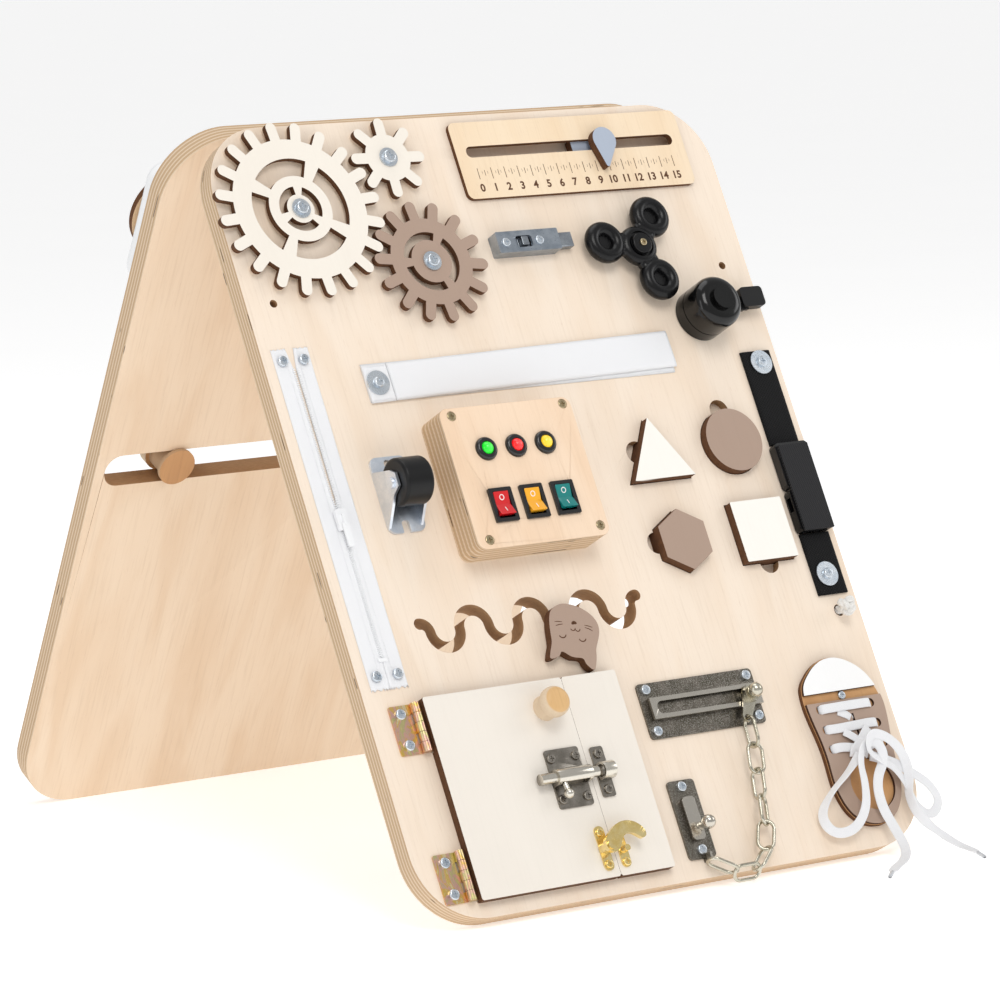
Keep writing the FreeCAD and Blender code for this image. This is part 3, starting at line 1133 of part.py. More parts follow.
# ================================================================ fasteners of the front board
fas = []
for x, y in (G_BIG, G_SMALL, G_MID):
    g = cyl(3.05, -7.0, 6.6, x, y).fuse(cyl(5.4, 0.0, 2.0, x, y)).fuse(washer(x, y, 6.35, 6.2, 0.9, 2.0))
    g = g.fuse(screw(x, y, 7.25, r=4.2, head=2.2, shank=8.0, core=2.0))
    fas.append(g.removeSplitter())
g = cyl(3.04, -7.0, 12.6, *SP).fuse(cyl(4.6, 0.0, 3.3, *SP)).fuse(screw(SP[0], SP[1], 15.1, r=2.4, head=1.1, shank=6.0, core=1.6))
fas.append(g.removeSplitter())
fas.append(washer(-113.8, 329.4, 2.35, 7.7, 0.9, 1.9))
fas.append(screw(-113.8, 329.4, 3.25, shank=10))
for x, y in ((-174.0, 348.8), (-159.2, 348.8), (-174.0, 150.5), (-159.2, 150.5)):
    fas.append(screw(x, y, 1.3))
for v0_, v1_ in HINGE_V:
    for yy in (v0_ + 5.5, v1_ - 5.5):
        fas.append(screw(-165.6, yy, 1.2))
for x in (3.2, 28.3):
    fas.append(screw(x, 409.8, 8.8, r=2.9, head=1.2, shank=15, core=1.6))
for x, y in CH_SCREWS + AN_SCREWS:
    fas.append(screw(x, y, 1.5, r=3.2, head=1.7))
for x, y in ((171.0, 318.0), (168.5, 175.0)):
    fas.append(washer(x, y, 2.25, 8.0, 0.9, 1.9))
    fas.append(screw(x, y, 3.15, shank=10))
for x, y in LIDSCREW:
    fas.append(screw(x, y, LZ - 1.25, r=3.0, head=1.35, shank=12.5))
fas.append(screw(SHOE_SCREW[0], SHOE_SCREW[1], D["shoe_base_thick"], r=2.8, head=1.5, shank=10))
panel_fasteners = feature("panel_fasteners", group(fas), FRONT)

# ================================================================ checks and files
doc.recompute()
bad = []
for o in doc.Objects:
    if "Invalid" in o.State or "Error" in o.State:
        bad.append("%s %s" % (o.Name, o.State))
for o in NODES:
    sh = o.Shape
    if sh.isNull() or not sh.isValid() or not sh.Solids or sh.Volume <= 0:
        bad.append("shape of %s" % o.Label)
labels = [o.Label for o in NODES]
if len(set(labels)) != len(labels):
    bad.append("labels repeat")
if bad:
    raise RuntimeError("; ".join(bad))
print("nodes", len(NODES))
allb = FreeCAD.BoundBox()
for o in NODES:
    allb.add(o.Shape.BoundBox)
print("bounds", [round(x, 2) for x in (allb.XMin, allb.YMin, allb.ZMin, allb.XMax, allb.YMax, allb.ZMax)])
os.makedirs("parts", exist_ok=True)
for o in NODES:
    o.Shape.exportStep("parts/%s.step" % o.Label)
print("written", len(NODES))
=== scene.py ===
import math
import random
import bpy
import bmesh
import numpy as np
from mathutils import Vector, Matrix


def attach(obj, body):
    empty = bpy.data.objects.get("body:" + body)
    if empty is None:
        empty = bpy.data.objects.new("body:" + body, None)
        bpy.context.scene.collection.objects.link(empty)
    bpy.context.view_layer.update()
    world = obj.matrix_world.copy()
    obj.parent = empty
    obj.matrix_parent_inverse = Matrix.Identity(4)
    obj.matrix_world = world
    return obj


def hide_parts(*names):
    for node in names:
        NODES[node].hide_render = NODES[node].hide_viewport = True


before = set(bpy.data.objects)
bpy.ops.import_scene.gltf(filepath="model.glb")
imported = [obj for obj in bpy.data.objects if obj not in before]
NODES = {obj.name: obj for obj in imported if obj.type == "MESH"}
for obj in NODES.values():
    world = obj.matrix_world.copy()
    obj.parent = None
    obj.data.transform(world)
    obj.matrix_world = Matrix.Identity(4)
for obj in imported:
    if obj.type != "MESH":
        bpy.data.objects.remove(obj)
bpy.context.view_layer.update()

scene = bpy.context.scene
A = math.radians(27.5)
SA, CA = math.sin(A), math.cos(A)
OY, OZ = -248.66746, 6.46448
F_MM = Matrix(((1, 0, 0, 0), (0, SA, -CA, OY), (0, CA, SA, OZ), (0, 0, 0, 1)))
TURN = Matrix(((-1, 0, 0, 0), (0, -1, 0, 0), (0, 0, 1, 0), (0, 0, 0, 1)))
FRONT = Matrix.Scale(0.001, 4) @ F_MM
REAR = TURN @ FRONT
NRM = Vector((0, -CA, SA))
UP = Vector((0, 0, 1))


def P(u, v, w):
    return FRONT @ Vector((u, v, w))


# ------------------------------------------------------------------ camera
R = ((0.81914149, -0.57312796, -0.02305566), (-0.09681546, -0.09853111, -0.99041324), (0.56536182, 0.81352072, -0.13619857))
cam_data = bpy.data.cameras.new("camera")
cam = bpy.data.objects.new("camera", cam_data)
scene.collection.objects.link(cam)
right, up, back = Vector(R[0]), -Vector(R[1]), -Vector(R[2])
cam.matrix_world = Matrix(((right.x, up.x, back.x, -1.57103), (right.y, up.y, back.y, -2.31967), (right.z, up.z, back.z, 0.59292), (0, 0, 0, 1)))
cam_data.sensor_width = 36.0
cam_data.lens = 161.96
cam_data.clip_start, cam_data.clip_end = 0.05, 200.0
scene.camera = cam

# ------------------------------------------------------------------ light, floor
scene.view_settings.view_transform = "Standard"
scene.view_settings.look = "None"
world = bpy.data.worlds.new("studio")
scene.world = world
world.use_nodes = True
wb = world.node_tree.nodes["Background"]
wb.inputs[0].default_value = (1.0, 1.0, 1.0, 1)
wb.inputs[1].default_value = 0.52


def area(name, loc, target, size, power, colour=(1, 1, 1), size_y=None):
    l = bpy.data.lights.new(name, "AREA")
    l.energy = power
    l.size = size
    l.color = colour
    if size_y:
        l.shape = "RECTANGLE"
        l.size_y = size_y
    o = bpy.data.objects.new(name, l)
    o.location = loc
    o.rotation_mode = "QUATERNION"
    o.rotation_quaternion = (Vector(target) - Vector(loc)).to_track_quat("-Z", "Y")
    scene.collection.objects.link(o)
    return o


area("key", (-0.5, -2.0, 2.5), (0, 0, 0.2), 1.3, 27, (1.0, 0.985, 0.96))
area("side", (2.2, -1.0, 1.3), (0, 0, 0.2), 1.0, 7)
area("left_strip", (-2.2, -0.9, 0.9), (0, 0, 0.2), 0.5, 5, size_y=1.6)
area("above", (0.0, 0.4, 2.6), (0, 0, 0.2), 1.6, 12)


def link_all(t, pairs):
    for a, b in pairs:
        t.links.new(a, b)


# ------------------------------------------------------------------ material kit
class Mat:
    """node material with a few shorthands; lengths in the shader are millimetres"""

    def __init__(self, name):
        self.m = bpy.data.materials.new(name)
        self.m.use_nodes = True
        self.t = self.m.node_tree
        self.t.nodes.clear()
        self.out = self.t.nodes.new("ShaderNodeOutputMaterial")
        self.b = self.t.nodes.new("ShaderNodeBsdfPrincipled")
        self.t.links.new(self.b.outputs[0], self.out.inputs[0])
        self.tc = self.t.nodes.new("ShaderNodeTexCoord")

    def new(self, kind):
        return self.t.nodes.new(kind)

    def put(self, socket, value):
        if isinstance(value, bpy.types.NodeSocket):
            self.t.links.new(value, socket)
        else:
            socket.default_value = value

    def set(self, name, value):
        self.put(self.b.inputs[name], value)

    def math(self, op, a, b=0.0, c=0.0, clamp=False):
        n = self.new("ShaderNodeMath")
        n.operation = op
        n.use_clamp = clamp
        self.put(n.inputs[0], a)
        self.put(n.inputs[1], b)
        self.put(n.inputs[2], c)
        return n.outputs[0]

    def coords(self, side="F"):
        """board coordinates u, v, w in mm"""
        n = self.new("ShaderNodeMapping")
        n.vector_type = "POINT"
        self.t.links.new(self.tc.outputs["Object"], n.inputs[0])
        k = 1000.0
        n.inputs["Scale"].default_value = (k, k, k) if side != "R" else (-k, -k, k)
        if side == "W":
            return n.outputs[0]
        n.inputs["Rotation"].default_value = (-math.radians(62.5), 0, 0)
        n.inputs["Location"].default_value = (0, -(OY * SA + OZ * CA), -(-OY * CA + OZ * SA))
        return n.outputs[0]

    def normal(self, side="F"):
        n = self.new("ShaderNodeMapping")
        n.vector_type = "VECTOR"
        self.t.links.new(self.tc.outputs["Normal"], n.inputs[0])
        n.inputs["Scale"].default_value = (1, 1, 1) if side != "R" else (-1, -1, 1)
        n.inputs["Rotation"].default_value = (-math.radians(62.5), 0, 0)
        return n.outputs[0]

    def sep(self, v):
        n = self.new("ShaderNodeSeparateXYZ")
        self.t.links.new(v, n.inputs[0])
        return n.outputs[0], n.outputs[1], n.outputs[2]

    def comb(self, x, y, z):
        n = self.new("ShaderNodeCombineXYZ")
        self.put(n.inputs[0], x)
        self.put(n.inputs[1], y)
        self.put(n.inputs[2], z)
        return n.outputs[0]

    def scale(self, v, s):
        n = self.new("ShaderNodeVectorMath")
        n.operation = "MULTIPLY"
        self.t.links.new(v, n.inputs[0])
        n.inputs[1].default_value = s if hasattr(s, "__len__") else (s, s, s)
        return n.outputs[0]

    def noise(self, v, s=1.0, detail=2.0, rough=0.5, distort=0.0):
        n = self.new("ShaderNodeTexNoise")
        self.t.links.new(self.scale(v, s), n.inputs["Vector"])
        n.inputs["Scale"].default_value = 1.0
        n.inputs["Detail"].default_value = detail
        n.inputs["Roughness"].default_value = rough
        n.inputs["Distortion"].default_value = distort
        return n.outputs["Fac"]

    def ramp(self, f, stops, mode="LINEAR"):
        n = self.new("ShaderNodeValToRGB")
        n.color_ramp.interpolation = mode
        e = n.color_ramp.elements
        while len(e) < len(stops):
            e.new(0.5)
        for k, (p, c) in enumerate(stops):
            e[k].position = p
            e[k].color = (c[0], c[1], c[2], 1) if hasattr(c, "__len__") else (c, c, c, 1)
        self.t.links.new(f, n.inputs[0])
        return n.outputs[0]

    def step(self, f, a, b):
        n = self.new("ShaderNodeMapRange")
        n.interpolation_type = "SMOOTHSTEP"
        self.put(n.inputs[0], f)
        n.inputs[1].default_value = a
        n.inputs[2].default_value = b
        return n.outputs[0]

    def mix(self, f, a, b, blend="MIX"):
        n = self.new("ShaderNodeMix")
        n.data_type = "RGBA"
        n.blend_type = blend
        self.put(n.inputs[0], f)
        for s, v in ((n.inputs[6], a), (n.inputs[7], b)):
            if isinstance(v, bpy.types.NodeSocket):
                self.t.links.new(v, s)
            else:
                s.default_value = (v[0], v[1], v[2], 1)
        return n.outputs[2]

    def mixf(self, f, a, b):
        n = self.new("ShaderNodeMix")
        n.data_type = "FLOAT"
        self.put(n.inputs[0], f)
        self.put(n.inputs[2], a)
        self.put(n.inputs[3], b)
        return n.outputs[0]

    def bump(self, h, dist=0.00005, strength=0.5):
        n = self.new("ShaderNodeBump")
        n.inputs["Strength"].default_value = strength
        n.inputs["Distance"].default_value = dist
        self.t.links.new(h, n.inputs["Height"])
        self.t.links.new(n.outputs[0], self.b.inputs["Normal"])

    def facing(self, side="F", lo=0.62, hi=0.82):
        """1 on faces that look out of the board or into it, 0 on cut edges"""
        x, y, z = self.sep(self.normal(side))
        return self.step(self.math("ABSOLUTE", z), lo, hi)


def lin(*c):
    return tuple(((x / 255) / 12.92) if x / 255 <= 0.04045 else ((x / 255 + 0.055) / 1.055) ** 2.4 for x in c)


def ply_edge(k, uvw, thick, z0=0.0, light=lin(232, 212, 184), dark=lin(206, 176, 142)):
    """layers of ply seen on a cut edge, with small open gaps painted dark brown as the shade inside them"""
    u, v, w = k.sep(uvw)
    wob = k.noise(uvw, (0.05, 0.05, 0.0), 2)
    ww = k.math("ADD", k.math("SUBTRACT", w, z0), k.math("MULTIPLY", wob, 0.5))
    f = k.math("DIVIDE", ww, thick)
    layer = k.math("FLOOR", f)
    odd = k.math("ABSOLUTE", k.math("SUBTRACT", k.math("MODULO", k.math("ADD", layer, 100.0), 2.0), 0.0))
    fr = k.math("FRACT", f)
    line = k.math("MULTIPLY", k.step(fr, 0.0, 0.12), k.math("SUBTRACT", 1.0, k.step(fr, 0.88, 1.0)))
    fib = k.noise(uvw, (0.9, 0.9, 4.0), 3, 0.6)
    c = k.mix(odd, light, dark)
    c = k.mix(k.math("MULTIPLY", fib, 0.35), c, lin(150, 110, 75))
    c = k.mix(k.math("MULTIPLY", k.math("SUBTRACT", 1.0, line), 0.5), c, lin(140, 104, 72))
    # small open gaps in the plies: a dark brown painted shade where a void would fall in shade
    gapv = k.comb(k.math("MULTIPLY", u, 0.035), k.math("MULTIPLY", v, 0.035), k.math("MULTIPLY", layer, 7.3))
    painted_gap_shade = k.step(k.noise(gapv, 1.0, 2), 0.685, 0.72)
    win = k.math("MULTIPLY", k.step(fr, 0.15, 0.35), k.math("SUBTRACT", 1.0, k.step(fr, 0.65, 0.85)))
    painted_gap_shade = k.math("MULTIPLY", k.math("MULTIPLY", painted_gap_shade, win), 0.9)
    return k.mix(painted_gap_shade, c, lin(52, 32, 20)), fib


def face_grain(k, uvw, base, warm, fleck=0.16, seed=0.0):
    """rotary cut birch: soft upright streaks, tiny flecks and broad flame figure"""
    sh = k.new("ShaderNodeVectorMath")
    sh.operation = "ADD"
    k.t.links.new(uvw, sh.inputs[0])
    sh.inputs[1].default_value = (seed, seed * 1.7, 0)
    q = sh.outputs[0]
    flame = k.noise(q, (0.030, 0.007, 0.0), 3, 0.5, 0.6)
    streak = k.noise(q, (0.55, 0.022, 0.0), 4, 0.62)
    fine = k.noise(q, (2.2, 0.16, 0.4), 3, 0.6)
    c = k.mix(k.math("MULTIPLY", k.step(flame, 0.36, 0.72), 0.6), base, warm)
    c = k.mix(k.math("MULTIPLY", k.step(streak, 0.46, 0.78), 0.30), c, tuple(x * 0.82 for x in warm))
    dash = k.step(k.noise(q, (1.5, 0.13, 0.0), 2, 0.5), 0.66, 0.74)
    c = k.mix(k.math("MULTIPLY", dash, fleck), c, lin(172, 122, 82))
    knot = k.step(k.noise(q, (0.018, 0.007, 0.0), 4, 0.75, 0.6), 0.72, 0.80)
    c = k.mix(k.math("MULTIPLY", knot, 0.22), c, lin(190, 146, 106))
    return c, fine, streak


BIRCH = (lin(243, 227, 209), lin(236, 214, 190))


def birch_panel(name, side):
    k = Mat(name)
    uvw = k.coords(side)
    # the rear board uses a darker copy of the front board's birch tones: painted shade for the board that faces away
    # from the light
    tone = BIRCH if side == "F" else (lin(238, 219, 196), lin(224, 196, 165))
    c, fine, streak = face_grain(k, uvw, tone[0], tone[1], seed=0.0 if side == "F" else 311.0)
    u, v, w = k.sep(uvw)
    # how far inside the rounded outline of the board
    qx = k.math("SUBTRACT", k.math("ABSOLUTE", u), 186.5 - 43)
    qy = k.math("SUBTRACT", k.math("ABSOLUTE", k.math("SUBTRACT", v, 250.0)), 250.0 - 43)
    px, py = k.math("MAXIMUM", qx, 0.0), k.math("MAXIMUM", qy, 0.0)
    ln = k.math("SQRT", k.math("ADD", k.math("MULTIPLY", px, px), k.math("MULTIPLY", py, py)))
    sdf = k.math("SUBTRACT", k.math("ADD", ln, k.math("MINIMUM", k.math("MAXIMUM", qx, qy), 0.0)), 43.0)
    rim = k.step(sdf, -2.6, -2.2)
    ply, fib = ply_edge(k, uvw, 1.4, -14.0)
    burnt = k.mix(k.noise(uvw, (0.3, 0.3, 1.5), 3), lin(150, 112, 76), lin(186, 150, 112))
    edge = k.mix(rim, burnt, ply)
    flat = k.facing(side)
    col = k.mix(flat, edge, c)
    k.set("Base Color", col)
    k.set("Roughness", k.mixf(flat, 0.8, k.math("ADD", 0.48, k.math("MULTIPLY", fine, 0.16))))
    k.set("Specular IOR Level", 0.35)
    k.bump(k.math("ADD", k.math("MULTIPLY", fine, 0.5), k.math("MULTIPLY", fib, k.math("SUBTRACT", 1.0, flat))), 0.00006, 0.55)
    return k.m


def birch_small(name, side="F", base=BIRCH[0], warm=BIRCH[1], burnt=True, thick=1.2, z0=0.0, seed=40.0, hatch=False, rough=0.5):
    k = Mat(name)
    uvw = k.coords(side)
    c, fine, streak = face_grain(k, uvw, base, warm, 0.2, seed)
    if burnt:
        edge = k.mix(k.noise(uvw, (0.35, 0.35, 2.2), 3), lin(44, 24, 13), lin(128, 84, 50))
        fib = fine
    else:
        edge, fib = ply_edge(k, uvw, thick, z0)
    if hatch:
        u, v, w = k.sep(uvw)
        x, y, z = k.sep(k.normal(side))
        di = k.math("SINE", k.math("MULTIPLY", k.math("ADD", v, k.math("MULTIPLY", w, 1.0)), 2.4))
        on = k.math("MULTIPLY", k.step(k.math("ABSOLUTE", x), 0.5, 0.7), k.step(di, -0.2, 0.6))
        edge = k.mix(k.math("MULTIPLY", on, 0.28), edge, lin(205, 165, 120))
    flat = k.facing(side)
    k.set("Base Color", k.mix(flat, edge, c))
    k.set("Roughness", k.mixf(flat, 0.85, k.math("ADD", rough, k.math("MULTIPLY", fine, 0.14))))
    k.set("Specular IOR Level", 0.35)
    k.bump(k.math("ADD", fine, fib), 0.00005, 0.45)
    return k.m


def painted(name, colour, side="F", burnt=True, rough=0.52, grain=0.07, seed=9.0):
    """paint on thin laser cut ply: the grain telegraphs through, the cut edge is scorched"""
    k = Mat(name)
    uvw = k.coords(side)
    c, fine, streak = face_grain(k, uvw, (1, 1, 1), (0.90, 0.88, 0.86), 0.0, seed)
    cloud = k.noise(uvw, 0.05, 3, 0.6)
    col = k.mix(grain * 4, colour, k.mix(1.0, colour, c, "MULTIPLY"))
    col = k.mix(k.math("MULTIPLY", cloud, 0.10), col, tuple(x * 0.86 for x in colour))
    peel = k.noise(uvw, 1.6, 3, 0.55)
    if burnt:
        edge = k.mix(k.noise(uvw, (0.4, 0.4, 2.4), 3), lin(40, 22, 12), lin(120, 78, 46))
        flat = k.facing(side, 0.6, 0.8)
        col = k.mix(flat, edge, col)
        k.set("Roughness", k.mixf(flat, 0.85, k.math("ADD", rough, k.math("MULTIPLY", peel, 0.12))))
    else:
        k.set("Roughness", k.math("ADD", rough, k.math("MULTIPLY", peel, 0.12)))
    k.set("Base Color", col)
    k.set("Specular IOR Level", 0.4)
    k.bump(k.math("ADD", k.math("MULTIPLY", peel, 0.6), k.math("MULTIPLY", fine, 0.5)), 0.00004, 0.45)
    return k.m


def metal(name, base, other, rough=0.3, brushed=(0.5, 0.5, 0.5), speck=0.0, speck_col=(0.05, 0.05, 0.05), side="F", high=None):
    """plated metal with fine brush marks, clouds and wear; high lifts the tone above a height in mm, which is rubbed
    patina on the antique plates and a painted highlight on the bolt's upper parts
    """
    k = Mat(name)
    uvw = k.coords(side)
    cloud = k.noise(uvw, 0.12, 4, 0.6)
    fine = k.noise(uvw, brushed, 4, 0.65)
    c = k.mix(k.step(cloud, 0.35, 0.68), base, other)
    if speck:
        sp = k.step(k.noise(uvw, 1.5, 4, 0.8), 0.50, 0.60)
        c = k.mix(k.math("MULTIPLY", sp, speck), c, speck_col)
    r = k.math("ADD", rough - 0.06, k.math("MULTIPLY", fine, 0.16))
    if high:
        u, v, w = k.sep(uvw)
        # above the given height the tone shifts and turns glossier; on the bolt this is a painted highlight
        up_ = k.step(w, high[0], high[1])
        c = k.mix(k.math("MULTIPLY", up_, 0.85), c, high[2])
        r = k.mixf(up_, r, 0.2)
    k.set("Base Color", c)
    k.set("Metallic", 1.0)
    k.set("Roughness", r)
    k.bump(k.math("ADD", fine, k.math("MULTIPLY", cloud, 0.3)), 0.00004, 0.35)
    return k.m


def yellow_zinc(name):
    """chromate film: bands of gold, green and pink that shift slowly over the leaf"""
    k = Mat(name)
    uvw = k.coords()
    f = k.noise(uvw, (0.09, 0.05, 0.2), 3, 0.6, 1.5)
    c = k.ramp(f, [(0.30, lin(236, 214, 150)), (0.42, lin(205, 196, 140)), (0.50, lin(228, 180, 170)), (0.58, lin(226, 190, 96)), (0.70, lin(240, 232, 205))])
    fine = k.noise(uvw, (0.9, 3.0, 0.9), 3, 0.6)
    k.set("Base Color", c)
    k.set("Metallic", 1.0)
    k.set("Roughness", k.math("ADD", 0.22, k.math("MULTIPLY", fine, 0.16)))
    k.bump(fine, 0.00004, 0.4)
    return k.m


def plastic(name, colour, rough=0.25, grain=0.6, side="F", bump=0.25, coat=0.0, spec=0.5):
    k = Mat(name)
    uvw = k.coords(side)
    a = k.noise(uvw, 0.09, 3, 0.6)
    b = k.noise(uvw, 2.4, 3, 0.6)
    k.set("Base Color", k.mix(k.math("MULTIPLY", a, 0.5), colour, tuple(min(1, x * 1.25 + 0.0015) for x in colour)))
    k.set("Specular IOR Level", spec)
    k.set("Roughness", k.math("ADD", rough - 0.03, k.math("ADD", k.math("MULTIPLY", a, 0.08), k.math("MULTIPLY", b, 0.05 * grain))))
    k.set("Coat Weight", coat)
    k.set("Coat Roughness", 0.12)
    k.bump(b, 0.00003, bump)
    return k.m


def woven(name, colour, dark, pu=0.9, pv=0.9, rough=0.85, uv=True, side="F", sheen=0.3, fuzz=0.3, depth=0.00012):
    """plain weave from two crossed sets of threads, with painted shade in the darker colour where threads dip; with uv
    the threads follow the strap, lengths in mm
    """
    k = Mat(name)
    if uv:
        uvn = k.new("ShaderNodeUVMap")
        uvn.uv_map = "mm"
        u, v, w = k.sep(uvn.outputs[0])
        base = uvn.outputs[0]
    else:
        base = k.coords(side)
        u, v, w = k.sep(base)
    su = k.math("SINE", k.math("MULTIPLY", u, 2 * math.pi / pu))
    sv = k.math("SINE", k.math("MULTIPLY", v, 2 * math.pi / pv))
    h = k.math("MULTIPLY", su, sv)
    ribs = k.math("ABSOLUTE", k.math("SINE", k.math("MULTIPLY", u, math.pi / pu)))
    n = k.noise(base, 1.3, 3, 0.7)
    # the darker colour fills the valleys between crossing threads: painted shade between the threads
    c = k.mix(k.step(h, -0.7, 0.6), dark, colour)
    c = k.mix(k.math("MULTIPLY", n, 0.18), c, dark)
    k.set("Base Color", c)
    k.set("Roughness", k.math("ADD", rough - 0.08, k.math("MULTIPLY", n, 0.14)))
    k.set("Sheen Weight", sheen)
    k.set("Sheen Roughness", 0.5)
    k.set("Specular IOR Level", 0.25)
    k.bump(k.math("ADD", k.math("ADD", h, k.math("MULTIPLY", ribs, 0.6)), k.math("MULTIPLY", n, fuzz)), depth, 0.6)
    return k.m


def burnt_mark(name):
    k = Mat(name)
    uvw = k.coords()
    n = k.noise(uvw, 1.4, 3, 0.6)
    k.set("Base Color", k.mix(n, lin(58, 32, 18), lin(112, 72, 42)))
    k.set("Roughness", k.math("ADD", 0.7, k.math("MULTIPLY", n, 0.2)))
    k.bump(n, 0.00003, 0.4)
    return k.m


def lens_and_bezel(name):
    """black frames with the three lamps: colour by place inside one node; each lamp's centre carries a painted glow in
    its base colour
    """
    k = Mat(name)
    uvw = k.coords()
    u, v, w = k.sep(uvw)
    fine = k.noise(uvw, 2.0, 3, 0.6)
    col = k.mix(fine, (0.003, 0.003, 0.0035), (0.006, 0.006, 0.007))
    glow = None
    lamp = None
    for x, y, c in ((-66.8, 274.0, (0.0, 0.75, 0.02)), (-45.2, 274.0, (0.95, 0.004, 0.006)), (-23.8, 274.0, (0.95, 0.62, 0.015))):
        dx, dy = k.math("SUBTRACT", u, x), k.math("SUBTRACT", v, y)
        r = k.math("SQRT", k.math("ADD", k.math("MULTIPLY", dx, dx), k.math("MULTIPLY", dy, dy)))
        inside = k.math("SUBTRACT", 1.0, k.step(r, 4.18, 4.24))
        # each lamp's centre is lightened in the base colour: a painted glow
        painted_glow = k.math("SUBTRACT", 1.0, k.step(r, 0.0, 3.6))
        cc = k.mix(k.math("MULTIPLY", painted_glow, 0.25), c, tuple(min(1, q + 0.35) for q in c))
        col = k.mix(inside, col, cc)
        em = k.mix(inside, (0, 0, 0), c)
        glow = em if glow is None else k.mix(1.0, glow, em, "ADD")
        lamp = inside if lamp is None else k.math("ADD", lamp, inside)
    k.set("Base Color", col)
    k.set("Emission Color", glow)
    k.set("Emission Strength", 0.22)
    k.set("Roughness", k.math("ADD", 0.2, k.math("MULTIPLY", fine, 0.12)))
    k.set("Coat Weight", 0.3)
    k.bump(fine, 0.00002, 0.25)
    return k.m


def tongue_mat(name):
    """gloss plastic buckle, with the webbing tail on top of it"""
    k = Mat(name)
    uvw = k.coords()
    u, v, w = k.sep(uvw)
    n = k.noise(uvw, 2.0, 3, 0.6)
    web = k.math("MULTIPLY", k.math("MULTIPLY", k.step(w, 7.04, 7.16), k.step(u, 157.8, 158.0)), k.math("SUBTRACT", 1.0, k.step(u, 181.0, 181.2)))
    su = k.math("SINE", k.math("MULTIPLY", u, 2 * math.pi / 1.5))
    sv = k.math("SINE", k.math("MULTIPLY", v, 2 * math.pi / 1.8))
    h = k.math("MULTIPLY", su, sv)
    # the webbing tail is darker where its threads dip: painted shade between the threads
    k.set("Base Color", k.mix(web, k.mix(n, (0.003, 0.003, 0.0035), (0.006, 0.006, 0.007)), k.mix(k.step(h, -0.6, 0.6), (0.002, 0.002, 0.0025), (0.020, 0.020, 0.023))))
    k.set("Roughness", k.mixf(web, k.math("ADD", 0.3, k.math("MULTIPLY", n, 0.12)), 0.85))
    k.bump(k.mixf(web, k.math("MULTIPLY", n, 0.2), h), 0.00012, 0.6)
    return k.m


M = {}
M["front"] = birch_panel("birch_front_board", "F")
M["rear"] = birch_panel("birch_rear_board", "R")
CREAM = lin(240, 233, 222)
TAUPE = lin(172, 148, 132)
M["cream"] = painted("cream_paint", CREAM)
M["door"] = painted("door_paint", lin(238, 231, 221), seed=77.0)
M["taupe"] = painted("taupe_paint_face", TAUPE)
M["white"] = painted("white_paint_face", lin(248, 245, 238), seed=25.0)
M["bluegrey"] = painted("blue_grey_paint_face", lin(172, 182, 198))
M["ruler"] = birch_small("ruler_birch", base=lin(242, 221, 192), warm=lin(234, 206, 170), seed=120.0)
M["lid"] = birch_small("lid_birch", base=lin(243, 217, 190), warm=lin(232, 198, 164), burnt=False, thick=1.1, z0=19.0, seed=205.0)
M["box"] = birch_small("box_ply", burnt=False, thick=1.9, z0=0.0, hatch=True)
M["sole"] = birch_small("shoe_wood", base=lin(206, 158, 108), warm=lin(186, 134, 86), seed=61.0)
M["knob"] = birch_small("knob_wood", base=lin(228, 192, 140), warm=lin(206, 160, 104), burnt=False, thick=40.0, seed=15.0, rough=0.32)
M["peg"] = birch_small("peg_wood", "R", base=lin(196, 150, 104), warm=lin(166, 120, 80), burnt=False, thick=30.0, seed=15.0, rough=0.45)
M["stud"] = birch_small("stud_wood", base=lin(214, 176, 130), warm=lin(196, 150, 104), burnt=False, thick=30.0, seed=15.0)
M["zinc"] = metal("zinc_plate", (0.78, 0.82, 0.88), (0.66, 0.72, 0.80), 0.30, (0.6, 2.0, 0.6), 0.25, (0.5, 0.56, 0.66))
M["screw"] = metal("zinc_screw", (0.74, 0.78, 0.82), (0.58, 0.64, 0.70), 0.26, (1.5, 1.5, 1.5), 0.3, (0.34, 0.44, 0.58), high=(14.6, 15.0, (0.50, 0.38, 0.18)))
M["yzinc"] = yellow_zinc("yellow_zinc_plate")
M["antique"] = metal("antique_nickel", (0.10, 0.09, 0.07), (0.17, 0.15, 0.125), 0.36, (1.2, 1.2, 1.2), 0.7, (0.50, 0.47, 0.42), high=(3.0, 4.6, (0.66, 0.62, 0.55)))
# the bolt lightens from 9 to 15 mm up: a painted highlight on its upper parts
M["nickel"] = metal("bolt_nickel", (0.22, 0.20, 0.17), (0.36, 0.33, 0.29), 0.28, (1.2, 1.2, 1.2), 0.45, (0.12, 0.11, 0.10), high=(9.0, 15.0, (0.74, 0.70, 0.62)))
M["chain"] = metal("chain_plating", (0.62, 0.59, 0.50), (0.48, 0.45, 0.36), 0.22, (1.6, 1.6, 1.6), 0.3, (0.30, 0.27, 0.22))
M["brass"] = metal("latch_brass", (0.88, 0.66, 0.24), (0.95, 0.78, 0.40), 0.20, (1.0, 1.0, 1.0), 0.15, (0.55, 0.36, 0.10))
M["steel"] = metal("latch_steel", (0.40, 0.44, 0.49), (0.28, 0.32, 0.37), 0.28, (0.4, 2.6, 0.6), 0.3, (0.26, 0.30, 0.34))
M["boltsteel"] = metal("latch_bolt_steel", (0.24, 0.26, 0.29), (0.34, 0.37, 0.40), 0.34, (0.4, 2.6, 0.6), 0.3, (0.12, 0.13, 0.15))
M["gloss"] = plastic("black_gloss_plastic", (0.0035, 0.0035, 0.004), 0.24, coat=0.0, spec=0.3)
M["bell"] = plastic("bell_enamel", (0.002, 0.002, 0.002), 0.12, 0.3, coat=0.25, spec=0.3)
